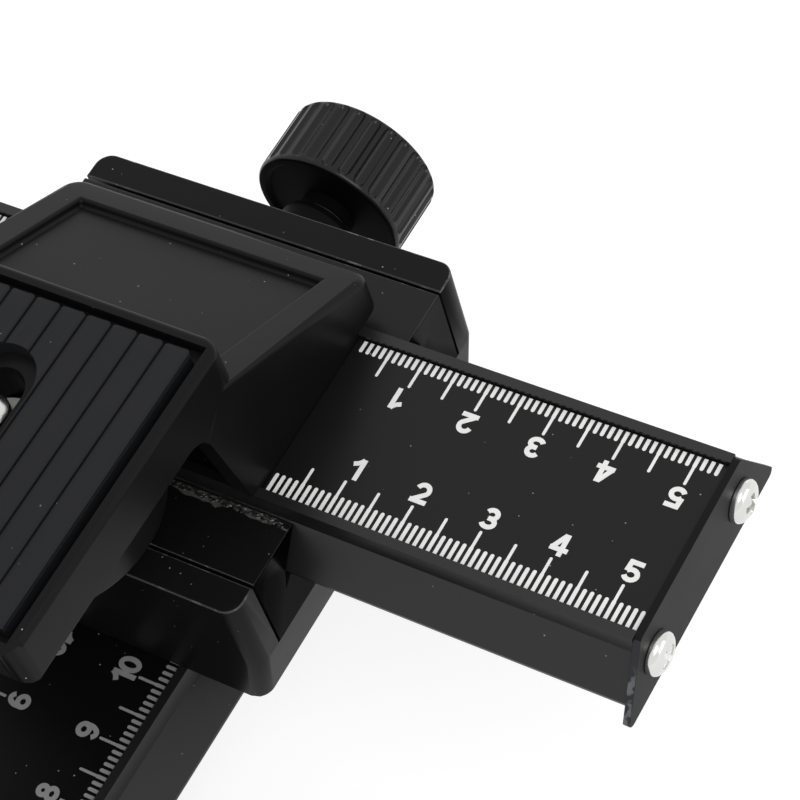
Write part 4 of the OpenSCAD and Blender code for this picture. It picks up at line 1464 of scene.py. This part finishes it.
@dataclass
class Platform:
    """The camera platform and its ribbed pad."""

    centre_y: float = 83.03 * MM
    level: float = 55.1 * MM
    half: float = 24.5 * MM
    height: float = 26.4 * MM
    block: float = 8.0 * MM
    nose: float = 55.3 * MM
    lip: float = 1.6 * MM
    gap: float = 1.3 * MM
    seat: float = 1.9 * MM
    proud: float = 0.4 * MM
    ribs: int = 11
    slot_half: float = 5.62 * MM
    slot_front: float = 42.3 * MM
    slot_rear: float = 23.7 * MM
    rounding: float = 1.2 * MM
    front_rounding: float = 2.2 * MM
    slope_level: float = 19.5 * MM
    rib_end: float = 0.5 * MM

    def edge_share(self, first: Vector, second: Vector) -> float:
        """How much of the largest rounding an edge of the platform gets.

        Args:
            first: One end of the edge.
            second: Its other end.

        Returns:
            A share from 0 to 1.
        """
        middle = (first + second) / 2
        x, y, z = abs(middle.x), middle.y - self.centre_y, middle.z - self.level
        over_slope = z - self.slope_level + 0.5 * (y + self.block)
        on_block = y > -self.block + 0.5 * MM
        outside = x > self.half - 1.3 * MM
        if y < self.front_rounding - self.nose:
            return 0.0  # the CAD's own rounded front edge
        if z > self.height - 0.3 * MM:
            return RIM_SHARE if outside or y > -self.block - 1.2 * MM else 0.0
        if on_block and abs(over_slope) < 0.4 * MM:
            return SLOPE_SHARE if outside or y > 17.5 * MM else PANEL_SHARE
        if on_block and x < 20.0 * MM and -1.9 * MM < over_slope < -0.6 * MM:
            return PANEL_SHARE
        if outside and 17.0 * MM < z < self.slope_level and y < -self.block - 3.0 * MM:
            return SIDE_SHARE
        return 0.0

    def body(self) -> bpy.types.Object:
        """Builds the casting.

        Returns:
            The piece.
        """
        mesh = softened("camera_platform", self.rounding, self.edge_share, 4)
        mesh.materials.clear()
        # painted shade: faces that look along X take the platform's darker side copy of its coat
        for face in mesh.polygons:
            if abs(face.normal.x) > 0.8:
                face.material_index = 2
        piece = new_piece("platform_casting", mesh, Finish.PLATFORM, Finish.PLATFORM, Finish.PLATFORM_SIDE)
        return settle(piece, "upper_slide", "body_black", "camera_platform")

    def rib_profile(self, width: float) -> list[Point]:
        """The cross-section of one rib: a slightly sloping top with a rounded drop on one side.

        Args:
            width: The pitch of the ribs.

        Returns:
            Points across the rib and up, from its left foot to its right foot.
        """
        low, turn = -0.55 * MM, 0.2 * MM
        round_side = arc((0.965 * width - turn, -turn), turn, 95.0, 0.0, 4)
        return [
            (0.01 * width, low),
            (0.02 * width, -0.26 * MM),
            (0.10 * width, -0.17 * MM),
            (0.70 * width, -0.10 * MM),
            (0.80 * width, -0.03 * MM),
            *round_side,
            (0.97 * width, low),
        ]

    def rib(self, left: float, width: float, front: float, back: float) -> bpy.types.Mesh:
        """One rib along Y whose back end is rounded in plan.

        Args:
            left: Its left edge.
            width: Its pitch.
            front: Its end at the nose, in the CAD's frame.
            back: Its end at the slope, in the CAD's frame.

        Returns:
            The mesh.
        """
        top = self.level + self.height + self.proud
        stations = [(front, 1.0)]
        for step in range(7):
            angle = math.radians(90.0 * step / 6)
            y = back - self.rib_end + self.rib_end * math.sin(angle)
            stations.append((y, 0.82 + 0.18 * math.cos(angle)))
        middle = 0.40 * width
        rows = [
            [(left + middle + (x - middle) * squeeze, y, top + z) for x, z in self.rib_profile(width)]
            for y, squeeze in stations
        ]
        shape = bmesh.new()
        lofted(shape, rows)
        return as_mesh(shape, "rib")

    def slot_cutter(self) -> bpy.types.Mesh:
        """A tall solid in the shape of the pad's slot.

        Returns:
            The mesh.
        """
        front, rear = self.centre_y - self.slot_front, self.centre_y - self.slot_rear
        ends = ((rear, 0.0, 180.0), (front, 180.0, 360.0))
        outline = sum((arc((0.0, y), self.slot_half, start, end, 24) for y, start, end in ends), [])
        top = self.level + self.height
        return prism(outline, top - 4 * MM, top + 3 * MM)

    def pad(self) -> bpy.types.Object:
        """Builds the rubber pad: a sheet with ribs on it, cut by the slot.

        Returns:
            The piece.
        """
        edge = self.half - self.lip - self.gap
        front = self.centre_y - self.nose + self.lip + self.gap
        back = self.centre_y - self.block - self.lip - self.gap
        width = 2 * edge / self.ribs
        floor = self.level + self.height - self.seat + 0.05 * MM
        top = self.level + self.height + self.proud - 0.5 * MM
        corners = [(-edge, front), (edge, front), (edge, back - 0.5 * MM), (-edge, back - 0.5 * MM)]
        parts = [without(prism(corners, floor, top), self.slot_cutter())]
        for index in range(self.ribs):
            left = -edge + index * width
            rib = self.rib(left, width, front, back)
            if left < self.slot_half and left + width > -self.slot_half:
                rib = without(rib, self.slot_cutter())
            parts.append(rib)
        mesh = joined(parts)
        smooth(mesh, 30.0)
        piece = new_piece("pad_rubber", mesh, Finish.RUBBER)
        return settle(piece, "upper_slide", "rubber", "rubber_pad")


# ---- The rest of the object ----------------------------------------------------------------


@dataclass(frozen=True)
class Softened:
    """A CAD node shown as a copy with rounded edges."""

    node: str
    body: str
    slot: str
    coat: Finish
    edge: Finish
    width: float
    side: Finish | None = None
    boss: tuple[int, float] | None = None

    def top_share(self, first: Vector, second: Vector) -> float:
        """How much of the rounding an edge of a worn piece gets.

        Args:
            first: One end of the edge.
            second: Its other end.

        Returns:
            1 for the edges round the piece's top, and 0 for the others.
        """
        ends = (first.z, second.z)
        return float(any(max(abs(z - level) for z in ends) < 0.1 * MM for level in GUIDE_TOPS))

    def is_side(self, face: bpy.types.MeshPolygon, long_axis: int) -> bool:
        """Whether a face gets the side finish.

        Args:
            face: The face.
            long_axis: The longer of the piece's two level axes, 0 or 1.

        Returns:
            True for a shell's walls and its knob's boss, or for the short ends of another piece. On shells
            and guides that finish is painted shade; on end plates it is their worn sheared side.
        """
        if self.boss:
            axis, start = self.boss
            return face.material_index == 0 and (abs(face.normal.z) < 0.55 or face.center[axis] > start)
        return abs(face.normal[long_axis]) > 0.7

    def build(self) -> bpy.types.Object:
        """Builds the piece and lets it ride.

        Returns:
            The piece.
        """
        worn = self.edge is Finish.COAT_EDGE
        mesh = softened(self.node, self.width, self.top_share if worn else None)
        finishes = [self.coat, self.edge]
        if self.side:
            finishes.append(self.side)
            low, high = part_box(self.node)
            long_axis = 0 if high.x - low.x > high.y - low.y else 1
            for face in mesh.polygons:
                if self.is_side(face, long_axis):
                    face.material_index = 2
        piece = new_piece(f"{self.node}_soft", mesh, *finishes)
        return settle(piece, self.body, self.slot, self.node)


# The side finishes of shells and guides are painted shade; that of the end plates is their worn sheared side
SHELL = {
    "slot": "body_black", "coat": Finish.COAT, "edge": Finish.COAT_EDGE,
    "side": Finish.COAT_SIDE, "width": 0.2 * MM,
}
GUIDE = {"slot": "guide_black", "edge": Finish.COAT_EDGE, "side": Finish.GUIDE_SIDE, "width": 0.13 * MM}
RAIL = {"slot": "body_black", "width": 0.18 * MM}
PLATE = {
    "slot": "plate_black", "coat": Finish.PLATE, "edge": Finish.PLATE,
    "side": Finish.PLATE_SIDE, "width": 0.25 * MM,
}
PLATES = {"upper": ("upper_right", "upper_left"), "lower": ("lower_front", "lower_rear")}

SOFTENED = (
    Softened("cross_shell", "lower_slide", **SHELL, boss=(1, 112.9 * MM)),
    Softened("base_shell", "base", **SHELL, boss=(0, 29.9 * MM)),
    Softened("cross_guide", "lower_slide", coat=Finish.GUIDE, **GUIDE),
    Softened("base_guide", "base", coat=Finish.BASE_GUIDE, **GUIDE),
    Softened("upper_rail", "upper_slide", coat=Finish.RAIL, edge=Finish.RAIL, **RAIL),
    Softened("lower_rail", "lower_slide", coat=Finish.LOWER_RAIL, edge=Finish.LOWER_RAIL, **RAIL),
    *(Softened(f"{end}_plate", f"{rail}_slide", **PLATE) for rail, ends in PLATES.items() for end in ends),
    Softened("camera_knob", "camera_fixing", "knob_black", Finish.KNOB, Finish.KNOB, 0.3 * MM),
)


@dataclass(frozen=True)
class BrokenCoat:
    """The ragged strip where the coat has broken off the near guide's inner top edge."""

    start: float = -4.0 * MM
    length: float = 32.5 * MM
    edge_y: float = 68.1 * MM
    top: float = GUIDE_TOPS[0]
    flakes: int = 170
    seed: int = 7

    def scatter(self, tree: GeometryTree, name: str, lowest: Place, highest: Place) -> Socket:
        """A random vector for each flake, with its own seed.

        Args:
            tree: The tree.
            name: What the vector is for.
            lowest: The least of each part.
            highest: The most of each part.

        Returns:
            The vector.
        """
        seed = tree.size(name, self.seed + len(tree.values), "Int")
        ends = {0: lowest, 1: highest, "Seed": seed}
        return tree.node("FunctionNodeRandomValue", {"data_type": "FLOAT_VECTOR"}, ends)

    def build(self) -> bpy.types.Object:
        """Scatters flat flakes along the edge.

        Returns:
            The piece.
        """
        tree = GeometryTree("broken_coat")
        count = tree.size("Flakes", self.flakes, "Int")
        pitch = tree.vector(tree.size("Length", self.length) / count, 0.0, 0.0)
        line = tree.line(count, pitch, (self.start, self.edge_y, self.top))
        lowest, highest = (-0.5 * MM, -0.55 * MM, -0.02 * MM), (0.5 * MM, 0.22 * MM, 0.03 * MM)
        spread = self.scatter(tree, "Spread", lowest, highest)
        line = tree.node("GeometryNodeSetPosition", None, {"Geometry": line, "Offset": spread})
        flake = tree.node("GeometryNodeMeshIcoSphere", None, {"Radius": 1.0, "Subdivisions": 1})
        turn = self.scatter(tree, "Turn", (-0.25, -0.25, -0.6), (0.25, 0.25, 0.6))
        least, most = (0.20 * MM, 0.10 * MM, 0.05 * MM), (0.80 * MM, 0.30 * MM, 0.13 * MM)
        size = self.scatter(tree, "Size", least, most)
        flakes = tree.copies(line, flake, Rotation=turn, Scale=size)
        piece = new_piece("broken_coat", tree.run(flakes, Finish.CHIPS), Finish.CHIPS)
        return settle(piece, "lower_slide", "guide_black")


CARRIED_OVER: dict[Finish, tuple[str, ...]] = {
    Finish.SCALE: ("upper_scale_plates",),
    # painted shade: the lower scale plate takes the darker copy of the scale's coat
    Finish.LOWER_SCALE: ("lower_scale_plate",),
    Finish.KNOB: ("upper_lock_knob", "lower_lock_knob"),
    # painted shade: the bushes are near black for the shade behind the knobs
    Finish.BUSH: ("upper_bush", "lower_bush"),
    Finish.STEEL: ("upper_rack", "lower_rack", "upper_pinion", "lower_pinion"),
    Finish.CHROME: ("camera_screw",),
    Finish.BRASS: ("upper_end_bush", "lower_end_bush", "tripod_bush", "upper_lock_pad", "lower_lock_pad"),
    Finish.DARK_STEEL: ("upper_shaft_ring", "lower_shaft_ring", "upper_knob_screw", "lower_knob_screw",
                        "base_guide_screws", "cross_guide_screws", "cross_mount_screws", "platform_screws",
                        "upper_rack_screws", "lower_rack_screws", "thrust_washer"),
    Finish.NYLON: ("screw_washer",),
}


def dress_carried_over() -> None:
    """Gives each CAD node that stays its finish."""
    for finish, nodes in CARRIED_OVER.items():
        for name in nodes:
            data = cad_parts[name].data
            data.materials.clear()
            data.materials.append(finish.material())
            log.info("%s keeps its CAD shape, finish %s", name, finish.value.name)


# ---- Studio --------------------------------------------------------------------------------


@dataclass
class Studio:
    """The floor, lamps, world and camera."""

    eye: Vector = field(default_factory=lambda: Vector((0.18103, -0.04836, 0.32206)))
    right: Vector = field(default_factory=lambda: Vector((0.85577351, 0.47788599, -0.19818346)))
    up: Vector = field(default_factory=lambda: Vector((-0.31071927, 0.78105521, 0.54166992)))
    back: Vector = field(default_factory=lambda: Vector((0.41364869, -0.40196735, 0.81689474)))
    lens: float = 116.2
    shift: Point = (-0.0639, 0.0795)
    aim: Place = (0.02, 0.08, 0.05)
    floor_half: float = 3.0
    floor_grey: float = 0.85
    shadow_grey: float = 0.30
    floor_glow: float = 0.80
    world_light: float = 0.70

    def camera(self) -> None:
        """Places the camera where the photograph was taken from."""
        data = bpy.data.cameras.new("camera")
        data.lens = self.lens
        data.sensor_width = 36.0
        data.sensor_fit = "HORIZONTAL"
        data.shift_x, data.shift_y = self.shift
        data.clip_start = 0.01
        holder = linked("camera", data)
        turn = Matrix((self.right, self.up, self.back)).transposed().to_4x4()
        holder.matrix_world = Matrix.Translation(self.eye) @ turn
        bpy.context.scene.camera = holder

    def floor(self) -> None:
        """Makes a pale floor that shows white, and keeps the object's shadow."""
        graph = ShaderGraph("studio_floor")
        plain, shadow = (
            graph.node("ShaderNodeBsdfDiffuse", None, {"Color": (grey, grey, grey, 1.0)})
            for grey in (self.floor_grey, self.shadow_grey)
        )
        glow = graph.node("ShaderNodeEmission", None, {"Color": WHITE, "Strength": self.floor_glow})
        white = graph.node("ShaderNodeAddShader", None, {0: shadow, 1: glow})
        both = {0: graph.background_rays(), 1: plain, 2: white}
        size, low = self.floor_half, -0.5 * MM
        mesh = bpy.data.meshes.new("floor")
        corners = [(x * size, y * size, low) for x, y in ((-1, -1), (1, -1), (1, 1), (-1, 1))]
        mesh.from_pydata(corners, [], [(0, 1, 2, 3)])
        mesh.materials.append(graph.end(graph.node("ShaderNodeMixShader", None, both)))
        linked("floor", mesh)

    def lamp(self, name: str, place: Place, size: Point, power: float, tint: Colour = EVEN) -> None:
        """Adds a rectangular lamp that points at the object.

        Args:
            name: Its name.
            place: Where it is.
            size: Its width and height.
            power: Its power, in watts.
            tint: Its colour.
        """
        data = bpy.data.lights.new(name, "AREA")
        data.shape = "RECTANGLE"
        data.size, data.size_y = size
        data.energy = power
        data.color = tint
        lamp = linked(name, data)
        lamp.rotation_euler = (Vector(self.aim) - Vector(place)).to_track_quat("-Z", "Y").to_euler()
        lamp.location = place

    def world(self) -> None:
        """Sets an even world that shows white and gives a little less light."""
        graph = ShaderGraph("studio", "World")
        dim, white = (
            graph.node("ShaderNodeBackground", None, {"Color": WHITE, "Strength": strength})
            for strength in (self.world_light, 1.0)
        )
        both = {0: graph.background_rays(), 1: dim, 2: white}
        bpy.context.scene.world = graph.end(graph.node("ShaderNodeMixShader", None, both))

    def build(self) -> None:
        """Builds the whole studio."""
        self.camera()
        self.floor()
        self.world()
        self.lamp("key_box", (0.55, -0.15, 0.85), (0.6, 0.6), 3.5)
        self.lamp("back_card", (-0.45, 1.35, 0.30), (1.6, 0.6), 0.8)
        self.lamp("side_card", (0.95, 0.35, 0.20), (0.7, 0.5), 1.0, (1.0, 0.99, 0.97))
        bpy.context.scene.view_settings.view_transform = "Standard"


# ---- Main ----------------------------------------------------------------------------------


END_SCREW = (80.0 * MM, 11.7 * MM, -5.6 * MM)  # from the middle of a rail's scale plate
KNOB_PLACE = (0.0, 38.3 * MM, -14.9 * MM)  # from the middle of a rail's scale plate
LOWER_MIDDLE = 25.1327 * MM  # the lower rail's middle along Y


def end_screw_places(rail: Matrix) -> list[Matrix]:
    """The places of a rail's four end plate screws.

    Args:
        rail: The place of the rail's middle, at its scale plate, with X along it.

    Returns:
        One matrix for each head, with Z out of the plate.
    """
    along, across, up = END_SCREW
    return [
        rail
        @ Matrix.Rotation(end, 4, "Z")
        @ Matrix.Translation((along, side * across, up))
        @ Matrix.Rotation(math.pi / 2, 4, "Y")
        for end in (0.0, math.pi)
        for side in (-1.0, 1.0)
    ]


def main() -> None:
    """Builds every piece of the object and the studio around it."""
    logging.basicConfig(level=logging.INFO, format="%(message)s")
    Studio().build()
    scales = Scales()
    upper = Matrix.Translation((0.0, scales.upper_y, scales.upper_z))
    lower_turn = Matrix.Rotation(-math.pi / 2, 4, "Z")
    lower = Matrix.Translation((0.0, LOWER_MIDDLE, scales.lower_z)) @ lower_turn
    base = Matrix.Translation((0.0, 0.0, scales.lower_z)) @ lower_turn
    for part in SOFTENED:
        part.build()
    BrokenCoat().build()
    platform = Platform()
    platform.body()
    platform.pad()
    scales.upper()
    scales.lower()
    knob = Matrix.Translation(KNOB_PLACE) @ Matrix.Rotation(-math.pi / 2, 4, "X")
    AdjustingKnob("upper_knob_fluted", "upper_drive", "upper_knob", upper @ knob, Finish.UPPER_KNOB).build()
    AdjustingKnob("lower_knob_fluted", "lower_drive", "lower_knob", base @ knob, Finish.LOWER_KNOB).build()
    PanScrews("upper_end_screws", "upper_slide", "upper_plate_screws", end_screw_places(upper)).build()
    PanScrews("lower_end_screws", "lower_slide", "lower_plate_screws", end_screw_places(lower)).build()
    dress_carried_over()


if __name__ == "__main__":
    main()
